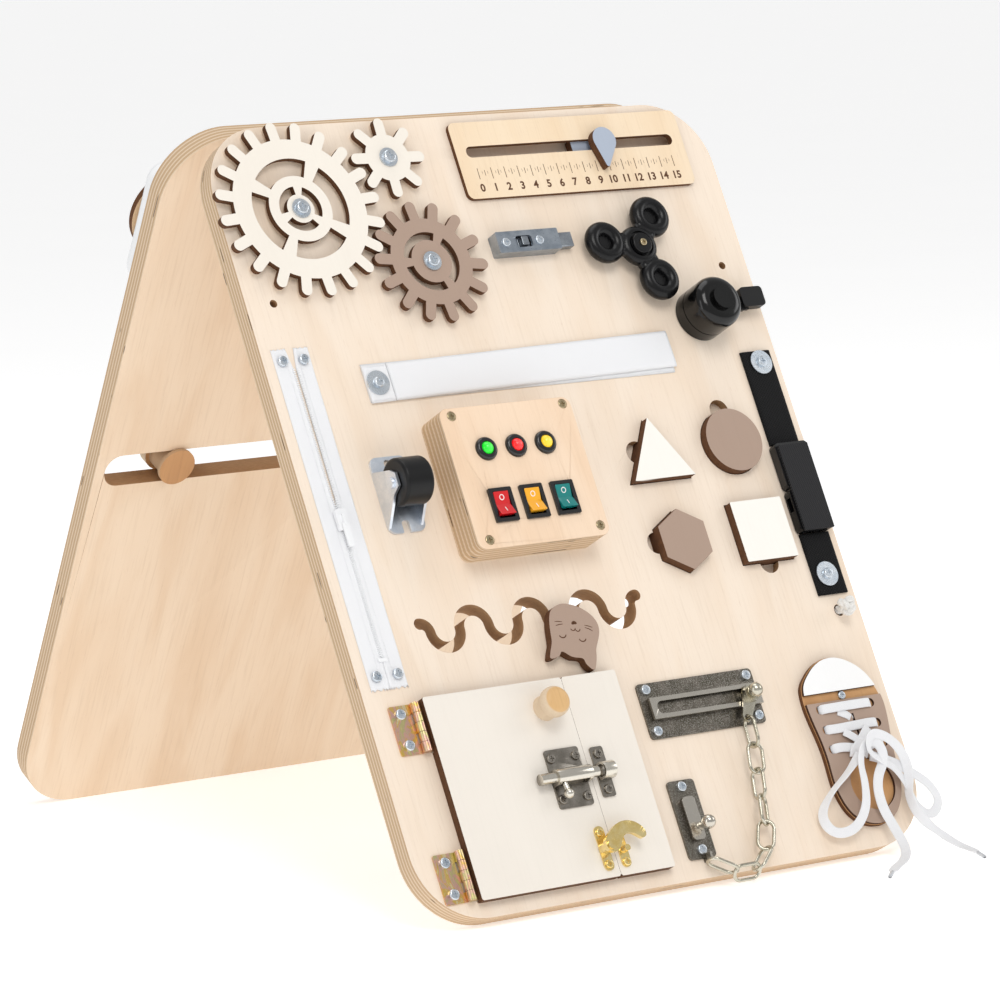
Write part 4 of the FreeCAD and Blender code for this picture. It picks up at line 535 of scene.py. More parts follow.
M["matt"] = plastic("black_rubber", (0.004, 0.004, 0.0045), 0.34, 1.0, bump=0.4, spec=0.3)
M["frames"] = lens_and_bezel("lamps_and_frames")
M["rred"] = plastic("rocker_red", (0.62, 0.008, 0.012), 0.2, coat=0.4)
M["ryel"] = plastic("rocker_amber", (0.95, 0.42, 0.02), 0.2, coat=0.4)
M["rgrn"] = plastic("rocker_teal", (0.003, 0.20, 0.19), 0.2, coat=0.4)
M["mark"] = plastic("rocker_mark", (0.86, 0.82, 0.80), 0.4)
M["whitep"] = plastic("white_shell", (0.86, 0.88, 0.90), 0.32, side="R")
M["slider"] = plastic("zip_slider", (0.84, 0.85, 0.87), 0.28)
M["tongue"] = tongue_mat("buckle_tongue_and_tail")
# the second colour of each weave is the painted shade in the valleys between its threads, and also a random mottle
M["lace"] = woven("lace_cotton", (0.95, 0.95, 0.96), (0.76, 0.77, 0.80), 0.75, 0.9, sheen=0.4)
M["rope"] = woven("rope_cotton", (0.95, 0.94, 0.92), (0.72, 0.70, 0.66), 0.8, 0.9)
M["satin"] = woven("satin_tape", (0.93, 0.93, 0.94), (0.78, 0.79, 0.82), 0.7, 0.55, rough=0.55, sheen=0.3, depth=0.00006)
M["hook"] = woven("hook_strap", (0.90, 0.91, 0.92), (0.70, 0.71, 0.74), 0.55, 0.55, rough=0.7, sheen=0.4, depth=0.00008)
M["web"] = woven("webbing_black", (0.010, 0.010, 0.011), (0.001, 0.001, 0.0012), 2.2, 2.0, rough=0.85, sheen=0.0, depth=0.0003)
M["burn"] = burnt_mark("burnt_line")
M["aglet"] = plastic("lace_tip", (0.55, 0.57, 0.60), 0.25)
M["dial"] = birch_small("dial_birch", "R", seed=88.0, base=lin(226, 196, 160), warm=lin(206, 172, 132))


def give(node, key):
    o = NODES[node]
    o.data.materials.clear()
    o.data.materials.append(M[key])


for n, key in dict(
        front_panel="front", rear_panel="rear", fold_hinge_front="zinc", fold_hinge_rear="zinc",
        gear_large="cream", gear_small="cream", gear_medium="taupe", ruler_plate="ruler", ruler_pointer="bluegrey",
        slide_latch_case="steel", slide_latch_bolt="boltsteel", spinner_body="gloss", bell_base="bell", bell_dome="bell", bell_lever="matt",
        zipper_slider="slider", panel_fasteners="screw", box_body="box", box_lid="lid", box_bezels="frames",
        rocker_red="rred", rocker_yellow="ryel", rocker_green="rgrn", battery_pack="matt", caster_bracket="zinc", caster_wheel="matt",
        shape_triangle="white", shape_circle="taupe", shape_hexagon="taupe", shape_square="white",
        buckle_socket="gloss", buckle_tongue="tongue", cat_figure="taupe", cat_stud="stud", door_leaf="door", door_post="door",
        door_hinge_fixed="yzinc", door_hinge_moving="yzinc", door_knob="knob", bolt_body="nickel", bolt_rod="nickel", post_catches="nickel",
        latch_plate="brass", latch_arm="brass", chain_plates="antique", chain_slider="chain", chain_links="chain",
        shoe_board="sole", rear_slide="peg", rear_box="whitep", rear_dial="dial").items():
    give(n, key)


# ------------------------------------------------------------------ mesh helpers
def mesh_piece(name, verts, faces, mat, body, matrix=None, smooth=True, uvs=None, mats=None, face_mats=None):
    me = bpy.data.meshes.new(name)
    vs = [tuple((matrix @ Vector(v)) if matrix else v) for v in verts]
    me.from_pydata(vs, [], faces)
    for m in ([mat] if mats is None else mats):
        me.materials.append(M[m])
    if face_mats:
        me.polygons.foreach_set("material_index", face_mats)
    if uvs is not None:
        layer = me.uv_layers.new(name="mm")
        idx = np.zeros(len(me.loops), int)
        me.loops.foreach_get("vertex_index", idx)
        arr = np.array(uvs, float)
        if len(arr) == len(vs):
            layer.data.foreach_set("uv", arr[idx].ravel())
        else:
            layer.data.foreach_set("uv", arr.ravel())
    me.validate()
    me.update()
    bm = bmesh.new()
    bm.from_mesh(me)
    bmesh.ops.recalc_face_normals(bm, faces=bm.faces)
    bm.to_mesh(me)
    bm.free()
    for p in me.polygons:
        p.use_smooth = smooth
    o = bpy.data.objects.new(name, me)
    scene.collection.objects.link(o)
    if body:
        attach(o, body)
    return o


def route_curve(name, points):
    """NURBS line through the route's control points, in metres"""
    cu = bpy.data.curves.new(name, "CURVE")
    cu.dimensions = "3D"
    sp = cu.splines.new("NURBS")
    sp.points.add(len(points) - 1)
    for p, q in zip(sp.points, points):
        p.co = (q[0], q[1], q[2], 1)
    sp.order_u = 3
    sp.use_endpoint_u = True
    cu.resolution_u = 16
    o = bpy.data.objects.new(name, cu)
    scene.collection.objects.link(o)
    return o


def read_line(curve):
    me = bpy.data.meshes.new_from_object(curve)
    pts = [v.co.copy() for v in me.vertices]
    bpy.data.meshes.remove(me)
    bpy.data.objects.remove(curve)
    out = [pts[0]]
    for p in pts[1:]:
        if (p - out[-1]).length > 1e-5:
            out.append(p)
    return out


def arc_lengths(pts):
    s = [0.0]
    for a, b in zip(pts, pts[1:]):
        s.append(s[-1] + (b - a).length)
    return s


def tangents(pts):
    t = []
    for k in range(len(pts)):
        a = pts[max(0, k - 1)]
        b = pts[min(len(pts) - 1, k + 1)]
        t.append((b - a).normalized())
    return t


def section_flat(w, t, n=16, power=3.2):
    out = []
    for k in range(n):
        a = 2 * math.pi * k / n
        c, s = math.cos(a), math.sin(a)
        out.append((0.5 * w * math.copysign(abs(c) ** (2 / power), c), 0.5 * t * math.copysign(abs(s) ** (2 / power), s)))
    return out


def sweep(name, pts, wide, section, mat, body, taper=None, cup=0.0):
    """section swept along pts, its first axis along wide; closed at both ends; uv in mm"""
    n = len(section)
    t = tangents(pts)
    s = arc_lengths(pts)
    verts, uvs = [], []
    per = [0.0]
    for k in range(n):
        a, b = section[k], section[(k + 1) % n]
        per.append(per[-1] + math.hypot(b[0] - a[0], b[1] - a[1]))
    for k, p in enumerate(pts):
        w = wide[k] - t[k] * wide[k].dot(t[k])
        w.normalize()
        h = t[k].cross(w).normalized()
        f = taper(s[k], s[-1]) if taper else (1.0, 1.0)
        for q in section:
            x, y = q[0] * f[0], q[1] * f[1]
            y += cup * (x * x) if cup else 0.0
            verts.append(p + w * x + h * y)
    faces, fuv = [], []
    for k in range(len(pts) - 1):
        for j in range(n):
            j2 = (j + 1) % n
            faces.append((k * n + j, k * n + j2, (k + 1) * n + j2, (k + 1) * n + j))
            a, b = per[j] * 1000, per[j + 1] * 1000
            fuv += [(a, s[k] * 1000), (b, s[k] * 1000), (b, s[k + 1] * 1000), (a, s[k + 1] * 1000)]
    faces.append(tuple(range(n))[::-1])
    fuv += [(section[j][0] * 1000, 0.0) for j in range(n)][::-1]
    base = (len(pts) - 1) * n
    faces.append(tuple(base + j for j in range(n)))
    fuv += [(section[j][0] * 1000, s[-1] * 1000) for j in range(n)]
    return mesh_piece(name, verts, faces, mat, body, uvs=fuv)


def roll_frames(pts, control, rolls, normals):
    """direction of the ribbon's width along the line, from a roll and a facing at each control point"""
    s = arc_lengths(pts)
    at = []
    last = 0
    for c in control:
        best = min(range(last, len(pts)), key=lambda j: (pts[j] - Vector(c)).length + 0.02 * max(0, s[j] - s[last] - 0.05))
        at.append(s[best])
        last = best
    at[0], at[-1] = 0.0, s[-1]
    for k in range(1, len(at)):
        at[k] = max(at[k], at[k - 1] + 1e-5)
    t = tangents(pts)
    out = []
    for k, x in enumerate(s):
        j = max(0, min(len(at) - 2, next((i - 1 for i, a in enumerate(at) if a > x), len(at) - 2)))
        f = (x - at[j]) / max(1e-9, at[j + 1] - at[j])
        f = min(1, max(0, f))
        f = f * f * (3 - 2 * f)
        nrm = (normals[j] * (1 - f) + normals[j + 1] * f).normalized()
        roll = math.radians(rolls[j] * (1 - f) + rolls[j + 1] * f)
        w = nrm.cross(t[k])
        if w.length < 1e-3:
            w = out[-1] if out else Vector((1, 0, 0))
        w.normalize()
        w = Matrix.Rotation(roll, 3, t[k]) @ w
        if out and w.dot(out[-1]) < 0:
            w = -w
        out.append(w)
    for _ in range(6):
        out = [out[0]] + [(out[k - 1] + out[k] * 2 + out[k + 1]).normalized() for k in range(1, len(out) - 1)] + [out[-1]]
    return out


# ------------------------------------------------------------------ cords
def W(u, v, w):
    return tuple(P(u, v, w))


LEFT = [W(142.1, 56.7, 11.5), W(130.3, 47, 11), W(113.5, 36.5, 8), W(102, 24, 5.5), W(108, 11.5, 5), W(122.5, 11, 7.5),
        W(134, 22, 10.5), W(137.6, 37, 12.5), W(136.8, 51, 15), W(142.0, 61, 16.5), W(153.5, 62.5, 16), W(157.5, 51.5, 14.5),
        W(146.5, 38.5, 12.5), W(146.3, 22.5, 10), (0.1524, -0.2525, 0.0170), (0.1505, -0.2655, 0.0065), (0.1370, -0.2795, 0.0040),
        (0.1185, -0.2915, 0.0040), (0.1017, -0.3079, 0.0040)]
RIGHT = [W(150.5, 54.8, 9.5), W(164.8, 49.3, 10), W(178.6, 39.9, 9), W(189.5, 31.5, 8), W(195, 20, 6.0), W(185.0, 11.5, 5.0),
         W(175.5, 20.5, 6.5), W(171.5, 34, 8.5), W(165.0, 44.5, 11), W(153.5, 50, 14), W(143.5, 56.5, 17), W(148.5, 67, 18.5),
         W(161, 63.5, 17.5), W(172, 53, 14), W(174, 39, 11.5), W(169, 25.5, 9.5), (0.1730, -0.2520, 0.0210),
         (0.1840, -0.2570, 0.0105), (0.1890, -0.2700, 0.0042), (0.1870, -0.2865, 0.0040), (0.1799, -0.3033, 0.0040)]
ROPE = [W(170.7, 151.5, 8.8), W(170.7, 151.5, -24.0), (0.1707, -0.1000, 0.1182), (0.1707, -0.0360, 0.1110)]
ROPE = ROPE + [(p[0], -p[1], p[2]) for p in ROPE[::-1]]

NB = [NRM] * 14
left_rolls = [30, 70, 75, 55, 15, 0, 0, 10, 20, 25, 25, 15, 15, 25, 30, 10, 0, 0, 0]
left_norm = NB + [(NRM + UP).normalized(), UP, UP, UP, UP]
right_rolls = [20, 10, 0, 0, 0, 10, 20, 20, 15, 20, 25, 15, 10, 20, 55, 70, 60, 30, 8, 0, 0]
right_norm = [NRM] * 16 + [(NRM + UP).normalized(), UP, UP, UP, UP]
LACE_W, LACE_T = 0.0062, 0.00115


def make_lace(name, route, rolls, normals, node, tip_name):
    line = read_line(route_curve(name + "_route", route))
    s = arc_lengths(line)
    wide = roll_frames(line, route, rolls, normals)
    tip = 0.013

    def taper(x, total):
        left = total - x
        f = 1.0 if left > tip + 0.004 else max(0.30, (left - tip) / 0.004 * 0.70 + 0.30) if left > tip else 0.30
        g = 1.0 if left > tip + 0.004 else 1.35
        return f, g

    o = sweep(name, line, wide, section_flat(LACE_W, LACE_T, 18, 3.0), "lace", "front_board", taper, cup=14.0)
    # tip
    cut = next(k for k, x in enumerate(s) if s[-1] - x < tip)
    ring = section_flat(0.0026, 0.0024, 14, 2.0)
    a = sweep(tip_name, line[cut:], wide[cut:], ring, "aglet", "front_board",
              lambda x, t: (1.0, 1.0) if t - x > 0.0012 else (0.8, 0.8))
    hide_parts(node)
    tuple(route[0])
    [tuple(p) for p in line]
    return o


make_lace("lace_left_ribbon", LEFT, left_rolls, left_norm, "lace_left", "lace_left_tip")
make_lace("lace_right_ribbon", RIGHT, right_rolls, right_norm, "lace_right", "lace_right_tip")


def strands(name, line, r_strand, r_path, pitch, mat, body, count=3, n=10):
    s = arc_lengths(line)
    t = tangents(line)
    ref = Vector((1, 0, 0))
    fr = []
    for k in range(len(line)):
        w = ref - t[k] * ref.dot(t[k])
        if w.length < 1e-4:
            w = Vector((0, 1, 0)) - t[k] * t[k].y
        w.normalize()
        ref = w
        fr.append((w, t[k].cross(w).normalized()))
    verts, faces, uvs = [], [], []
    for c in range(count):
        base = len(verts)
        centres = []
        for k, p in enumerate(line):
            a = 2 * math.pi * (s[k] / pitch + c / count)
            centres.append(p + fr[k][0] * (r_path * math.cos(a)) + fr[k][1] * (r_path * math.sin(a)))
        tt = tangents(centres)
        w0 = fr[0][0]
        for k, p in enumerate(centres):
            w = w0 - tt[k] * w0.dot(tt[k])
            w.normalize()
            w0 = w
            h = tt[k].cross(w)
            for j in range(n):
                a = 2 * math.pi * j / n
                verts.append(p + w * (r_strand * math.cos(a)) + h * (r_strand * math.sin(a)))
        for k in range(len(line) - 1):
            for j in range(n):
                j2 = (j + 1) % n
                faces.append((base + k * n + j, base + k * n + j2, base + (k + 1) * n + j2, base + (k + 1) * n + j))
                q = 2 * math.pi * r_strand * 1000 / n
                uvs += [(j * q, s[k] * 1000), ((j + 1) * q, s[k] * 1000), ((j + 1) * q, s[k + 1] * 1000), (j * q, s[k + 1] * 1000)]
        faces.append(tuple(base + j for j in range(n))[::-1])
        uvs += [(0, 0)] * n
        faces.append(tuple(base + (len(line) - 1) * n + j for j in range(n)))
        uvs += [(0, 0)] * n
    return mesh_piece(name, verts, faces, mat, body, uvs=uvs)


def resample(line, step):
    s = arc_lengths(line)
    m = max(2, int(round(s[-1] / step)))
    out, j = [], 0
    for k in range(m + 1):
        x = s[-1] * k / m
        while j < len(s) - 2 and s[j + 1] < x:
            j += 1
        f = (x - s[j]) / max(1e-9, s[j + 1] - s[j])
        out.append(line[j].lerp(line[j + 1], min(1, max(0, f))))
    return out


rope_line = read_line(route_curve("rope_route", ROPE))
rope_fine = resample(rope_line, 0.0012)
rope_o = strands("spread_rope_strands", rope_fine, 0.00155, 0.00138, 0.013, "rope", "front_board")


def knot(name, centre, axis, body, tail):
    """overhand knot in the rope, with a short tail"""
    z = Vector(axis).normalized()
    x = Vector((1, 0, 0)) - z * z.x
    x.normalize()
    y = z.cross(x)
    pts = []
    for k in range(96):
        t = 2 * math.pi * k / 96
        q = ((math.sin(t) + 2 * math.sin(2 * t)) * 1.42, (math.cos(t) - 2 * math.cos(2 * t)) * 1.42, -math.sin(3 * t) * 2.2)
        pts.append(Vector(centre) + (x * q[0] + y * q[1] + z * q[2]) * 0.001)
    pts = resample(pts + [pts[0]], 0.0009)
    a = strands(name, pts, 0.00135, 0.00120, 0.011, "rope", body, 3, 8)
    start = Vector(centre) + z * 0.0015
    ln = [start + (Vector(tail) * (0.001 * k)) + z * (0.00005 * k * k * (1 if k < 5 else 1)) for k in range(0, 8)]
    b = strands(name + "_tail", resample(ln, 0.0008), 0.0013, 0.00115, 0.011, "rope", body, 3, 8)
    return [a, b]


kf = knot("rope_knot_front", P(170.7, 151.5, 8.8), NRM, "front_board", (0.55, 0.25, -0.35))
kr = knot("rope_knot_rear", Vector(ROPE[-1]), (0, CA, SA), "front_board", (-0.5, 0.0, -0.5))
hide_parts("spread_rope")
tuple(ROPE[0])
arc_lengths(rope_line)[-1]
[tuple(p) for p in rope_line]


# ------------------------------------------------------------------ flat strips on the board
def strip(name, a, b, width, thick, w0, mat, body, nl=80, nw=10, wave=0.0, seed=1, matrix=FRONT, edge_round=0.3, holes=(), pts=None):
    """a flat strap from a to b (mm, u v), its underside at w0; a gentle wave keeps it from looking cut from card"""
    rnd = random.Random(seed)
    ph = [rnd.uniform(0, 6.28) for _ in range(6)]
    a, b = Vector((a[0], a[1])), Vector((b[0], b[1]))
    d = b - a
    L = d.length
    d.normalize()
    n = Vector((-d.y, d.x))
    top, uvt = [], []
    for i in range(nl + 1):
        x = L * i / nl
        for j in range(nw + 1):
            y = width * (j / nw - 0.5)
            e = abs(2 * j / nw - 1)
            edge = wave * 0.35 * (math.sin(x * 0.21 + ph[0]) + 0.5 * math.sin(x * 0.53 + ph[1]))
            yy = y + (edge * (1 if y > 0 else -1) * e * 0.4)
            p = a + d * x + n * yy
            lift = wave * (0.5 + 0.5 * math.sin(x * 0.07 + ph[2])) * (0.35 + 0.65 * math.sin(x * 0.16 + ph[3] + y * 0.09)) * 0.5
            h = thick * (1.0 - edge_round * max(0, (e - 0.82) / 0.18) ** 2) + max(0.0, lift)
            top.append((p.x, p.y, w0 + h))
            uvt.append((y + 60, x))
    row = nw + 1
    n0 = len(top)
    verts = list(top)
    for i in range(nl + 1):
        for j in range(nw + 1):
            q = top[i * row + j]
            verts.append((q[0], q[1], max(w0, q[2] - thick)))
    faces = []
    for i in range(nl):
        for j in range(nw):
            k = i * row + j
            faces.append((k, k + 1, k + row + 1, k + row))
            faces.append((n0 + k, n0 + k + row, n0 + k + row + 1, n0 + k + 1))
    for i in range(nl):
        k = i * row
        faces.append((k, k + row, n0 + k + row, n0 + k))
        k = i * row + nw
        faces.append((k, n0 + k, n0 + k + row, k + row))
    for j in range(nw):
        faces.append((j, n0 + j, n0 + j + 1, j + 1))
        k = nl * row + j
        faces.append((k, k + 1, n0 + k + 1, n0 + k))
    return mesh_piece(name, verts, faces, mat, body, matrix, uvs=uvt + uvt)


def stitches(name, a, b, w, mat, body, step=2.4, length=1.6, r=0.22, matrix=FRONT):
    a, b = Vector((a[0], a[1], w)), Vector((b[0], b[1], w))
    L = (b - a).length
    d = (b - a).normalized()
    side = Vector((-d.y, d.x, 0))
    verts, faces = [], []
    k = 0
    x = step * 0.5
    while x + length < L:
        for i in range(5):
            f = i / 4
            c = a + d * (x + length * f)
            hh = 0.16 * math.sin(math.pi * f)
            rr = r * (0.55 + 0.45 * math.sin(math.pi * f))
            for s1, z1 in ((-rr, -0.05), (-rr * 0.7, rr * 0.75), (rr * 0.7, rr * 0.75), (rr, -0.05)):
                q = c + side * s1
                verts.append((q.x, q.y, w + hh + z1))
        for i in range(4):
            for j in range(4):
                j2 = (j + 1) % 4
                faces.append((k + i * 4 + j, k + i * 4 + j2, k + i * 4 + 4 + j2, k + i * 4 + 4 + j))
        faces.append((k, k + 1, k + 2, k + 3))
        faces.append((k + 16, k + 17, k + 18, k + 19))
        k += 20
        x += step
    return mesh_piece(name, verts, faces, mat, body, matrix, uvs=[(v[0], v[1]) for v in verts])


# hook and loop strap
vb = strip("velcro_base", (-121.3, 330.2), (104.5, 330.2), 24.6, 0.9, 0.08, "hook", "front_board", 120, 10, 0.0, 3)
stub = strip("velcro_stub", (-121.5, 329.2), (-104.3, 329.5), 24.2, 1.0, 1.2, "satin", "front_board", 16, 10, 0.0, 4)
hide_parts("velcro_base_strap")
vt = strip("velcro_top", (-103.9, 329.5), (106.0, 333.2), 24.0, 1.0, 1.42, "satin", "top_strap", 130, 12, 0.25, 5)
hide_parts("velcro_top_strap")
for nm, dv in (("velcro_stitch_top", 10.6), ("velcro_stitch_bottom", -10.6)):
    stitches(nm, (-120.0, 329.2 + dv), (-105.0, 329.5 + dv), 2.2, "lace", "front_board", 2.2, 1.5, 0.14)

# zip tapes, coil and stop
CX = -166.6


def zip_gap(v):
    if v < 252:
        return 0.12
    if v < 262:
        return 0.12 + (v - 252) / 10 * 0.9
    if v < 344:
        return 1.02
    return 1.02 + (v - 344) / 13 * 2.0


def tape(name, sgn):
    prof = [(0.0, 0.95, 0), (0.5, 1.15, 0), (1.6, 1.25, 0), (2.6, 1.0, 0), (3.2, 0.72, 0), (4.0, 0.80, 0), (6.0, 0.82, 0), (8.5, 0.82, 0),
            (10.5, 0.84, 0), (12.0, 0.80, 0), (12.75, 0.62, 0)]
    vs, uv = [], []
    rows = 150
    rnd = random.Random(7 if sgn > 0 else 8)
    for i in range(rows + 1):
        v = 142.4 + (357.0 - 142.4) * i / rows
        g = zip_gap(v)
        for j, (dd, h, _) in enumerate(prof):
            x = g + dd * (12.8 - g) / 12.75
            vj = v
            if i == 0:
                vj = v + (0.9 if j % 2 else -0.6)
            if i == rows:
                vj = v - (0.8 if j % 2 else 0.0)
            hh = h + (0.10 * math.sin(v * 0.13 + j * 0.4 + sgn) * (0.3 if dd < 4 else 1.0))
            vs.append((CX + sgn * x, vj, min(1.3, max(0.5, hh))))
            uv.append((dd + 20, v))
    n0 = len(vs)
    row = len(prof)
    verts = vs + [(a, b, 0.06) for a, b, c in vs]
    faces = []
    for i in range(rows):
        for j in range(row - 1):
            k = i * row + j
            faces.append((k, k + 1, k + row + 1, k + row))
            faces.append((n0 + k, n0 + k + row, n0 + k + row + 1, n0 + k + 1))
        k = i * row
        faces.append((k, k + row, n0 + k + row, n0 + k))
        k = i * row + row - 1
        faces.append((k, n0 + k, n0 + k + row, k + row))
    for j in range(row - 1):
        faces.append((j, n0 + j, n0 + j + 1, j + 1))
        k = rows * row + j
        faces.append((k, k + 1, n0 + k + 1, n0 + k))
    return mesh_piece(name, verts, faces, "satin", "front_board", FRONT, uvs=uv + uv)


tl, tr = tape("zip_tape_left", -1), tape("zip_tape_right", 1)
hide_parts("zipper_tapes")


def teeth(name):
    verts, faces = [], []
    v, k = 162.0, 0
    while v < 343.0:
        for sgn in (-1, 1):
            g = zip_gap(v)
            off = 0.0 if sgn > 0 else 0.7
            x0, x1 = (-0.5 if g < 0.2 else g - 0.55), g + 1.5
            z0, z1 = 0.9, 1.95
            y0, y1 = v + off - 0.42, v + off + 0.42
            c = [(x0, y0 + 0.12, z0), (x1, y0, z0), (x1, y1, z0), (x0, y1 - 0.12, z0), (x0 + 0.15, y0 + 0.2, z1 - 0.2), (x1 - 0.3, y0 + 0.12, z1), (x1 - 0.3, y1 - 0.12, z1), (x0 + 0.15, y1 - 0.2, z1 - 0.2)]
            verts += [(CX + sgn * a, b, cc) for a, b, cc in c]
            faces += [(k, k + 1, k + 2, k + 3), (k + 4, k + 5, k + 6, k + 7), (k, k + 1, k + 5, k + 4), (k + 1, k + 2, k + 6, k + 5), (k + 2, k + 3, k + 7, k + 6), (k + 3, k, k + 4, k + 7)]
            k += 8
        v += 1.4
    return mesh_piece(name, verts, faces, "slider", "front_board", FRONT, smooth=False)


teeth("zip_teeth")
stitches("zip_seam_left", (CX - 4.6, 146.0), (CX - 4.6, 352.0), 0.86, "lace", "front_board", 1.9, 1.3, 0.13)
stitches("zip_seam_right", (CX + 4.6, 146.0), (CX + 4.6, 352.0), 0.86, "lace", "front_board", 1.9, 1.3, 0.13)


def block(name, lo, hi, bevel, mat, body, matrix=FRONT, segs=3):
    bm = bmesh.new()
    bmesh.ops.create_cube(bm, size=1.0)
    for v in bm.verts:
        v.co = Vector([lo[i] + (v.co[i] + 0.5) * (hi[i] - lo[i]) for i in range(3)])
    bmesh.ops.bevel(bm, geom=list(bm.edges), offset=bevel, segments=segs, affect="EDGES", profile=0.5)
    verts = [tuple(v.co) for v in bm.verts]
    faces = [tuple(v.index for v in f.verts) for f in bm.faces]
    bm.free()
    return mesh_piece(name, verts, faces, mat, body, matrix)


block("zip_bottom_stop", (CX - 3.1, 158.8, 1.0), (CX + 3.1, 161.2, 2.4), 0.45, "slider", "front_board")

# webbing of the buckle
s1 = strip("webbing_upper", (169.5, 262.6), (169.5, 326.0), 23.0, 1.6, 0.35, "web", "front_board", 50, 14, 0.12, 11)
s2 = strip("webbing_lower", (169.5, 162.0), (169.5, 202.6), 23.0, 1.6, 0.35, "web", "front_board", 34, 14, 0.12, 12)
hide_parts("buckle_straps")


# ------------------------------------------------------------------ ruler marks
def flat_boxes(name, boxes, z0, z1, mat, body, matrix=FRONT):
    verts, faces = [], []
    for x0, y0, x1, y1 in boxes:
        k = len(verts)
        verts += [(x0, y0, z0), (x1, y0, z0), (x1, y1, z0), (x0, y1, z0), (x0, y0, z1), (x1, y0, z1), (x1, y1, z1), (x0, y1, z1)]
        faces += [(k + 3, k + 2, k + 1, k), (k + 4, k + 5, k + 6, k + 7), (k, k + 1, k + 5, k + 4), (k + 1, k + 2, k + 6, k + 5), (k + 2, k + 3, k + 7, k + 6), (k + 3, k, k + 4, k + 7)]
    return mesh_piece(name, verts, faces, mat, body, matrix, smooth=False)


ticks = []
for k in range(0, 151):
    x = 3.3 + k
    if k % 10 == 0:
        ticks.append((x - 0.22, 455.2, x + 0.22, 462.6))
    elif k % 5 == 0:
        ticks.append((x - 0.18, 457.4, x + 0.18, 461.2))
    elif k % 5 in (2, 3) and k % 10 in (2, 3, 7, 8) and k % 2 == 1:
        ticks.append((x - 0.10, 458.6, x + 0.10, 460.4))
flat_boxes("ruler_ticks", ticks, 2.9, 3.04, "burn", "front_board")


def text_piece(name, items, size, z0, z1, mat, body, heavy=0.0):
    """numbers as thin solid shapes on the plate: (text, centre u, centre v)"""
    verts, faces = [], []
    for txt, cu_, cv_ in items:
        cu = bpy.data.curves.new("t", "FONT")
        cu.body = txt
        cu.size = size
        cu.align_x, cu.align_y = "CENTER", "CENTER"
        cu.extrude = (z1 - z0) / 2
        cu.offset = heavy
        cu.resolution_u = 4
        o = bpy.data.objects.new("t", cu)
        scene.collection.objects.link(o)
        me = bpy.data.meshes.new_from_object(o)
        xs = [v.co.x for v in me.vertices]
        ys = [v.co.y for v in me.vertices]
        mx, my = (min(xs) + max(xs)) / 2, (min(ys) + max(ys)) / 2
        k = len(verts)
        verts += [(v.co.x - mx + cu_, v.co.y - my + cv_, v.co.z + (z0 + z1) / 2) for v in me.vertices]
        faces += [tuple(k + i for i in p.vertices) for p in me.polygons]
        bpy.data.meshes.remove(me)
        bpy.data.objects.remove(o)
        bpy.data.curves.remove(cu)
    return mesh_piece(name, verts, faces, mat, body, FRONT, smooth=False)


text_piece("ruler_numbers", [(str(k), 3.3 + 10 * k, 449.4) for k in range(16)], 7.0, 2.9, 3.05, "burn", "front_board", 0.22)


# ------------------------------------------------------------------ burnt lines of the cat's face
def stroke(pts, r, z0, z1, n=8):
    """thin raised line through pts (mm, u v), round ended"""
    verts, faces = [], []
    m = len(pts)
    for k, p in enumerate(pts):
        a = pts[max(0, k - 1)]
        b = pts[min(m - 1, k + 1)]
        d = Vector((b[0] - a[0], b[1] - a[1]))
        d.normalize()
        n_ = Vector((-d.y, d.x)) * r * (0.55 if k in (0, m - 1) else 1.0)
        verts += [(p[0] + n_.x, p[1] + n_.y, z0), (p[0] - n_.x, p[1] - n_.y, z0), (p[0] + n_.x, p[1] + n_.y, z1), (p[0] - n_.x, p[1] - n_.y, z1)]
    for k in range(m - 1):
        i = 4 * k
        faces += [(i + 2, i + 3, i + 7, i + 6), (i, i + 4, i + 5, i + 1), (i, i + 2, i + 6, i + 4), (i + 1, i + 5, i + 7, i + 3)]
    faces += [(0, 1, 3, 2), (4 * m - 4, 4 * m - 2, 4 * m - 1, 4 * m - 3)]
    return verts, faces


def strokes(name, lines, z0, z1, mat, body, matrix=FRONT):
    verts, faces = [], []
    for pts, r in lines:
        v, f = stroke(pts, r, z0, z1)
        k = len(verts)
        verts += v
        faces += [tuple(i + k for i in q) for q in f]
    return mesh_piece(name, verts, faces, mat, body, matrix, smooth=False)


def arc(cx, cy, r, a0, a1, n=12):
    return [(cx + r * math.cos(math.radians(a0 + (a1 - a0) * k / n)), cy + r * math.sin(math.radians(a0 + (a1 - a0) * k / n))) for k in range(n + 1)]


cat_lines = [
    (arc(-42.4, 159.2, 2.6, 200, 340), 0.36), (arc(-29.2, 155.2, 2.6, 195, 335), 0.36),
    (arc(-33.8, 161.8, 1.7, 190, 350), 0.30), (arc(-30.6, 160.9, 1.7, 190, 350), 0.30),
    (arc(-31.9, 163.9, 1.5, 0, 180), 0.55), ([(-33.2, 164.0), (-32.0, 164.6), (-30.7, 164.0)], 0.7), ([(-32.8, 164.8), (-31.2, 164.8)], 0.6),
    ([(-40.0, 166.4), (-42.6, 167.0), (-45.2, 167.2)], 0.28), ([(-39.9, 165.0), (-42.6, 165.0), (-45.2, 164.6)], 0.28),
    ([(-25.0, 162.4), (-22.4, 161.6), (-19.8, 160.4)], 0.28), ([(-25.2, 161.0), (-22.6, 159.8), (-20.4, 158.2)], 0.28),
]
strokes("cat_face", cat_lines, 6.9, 7.05, "burn", "cat")

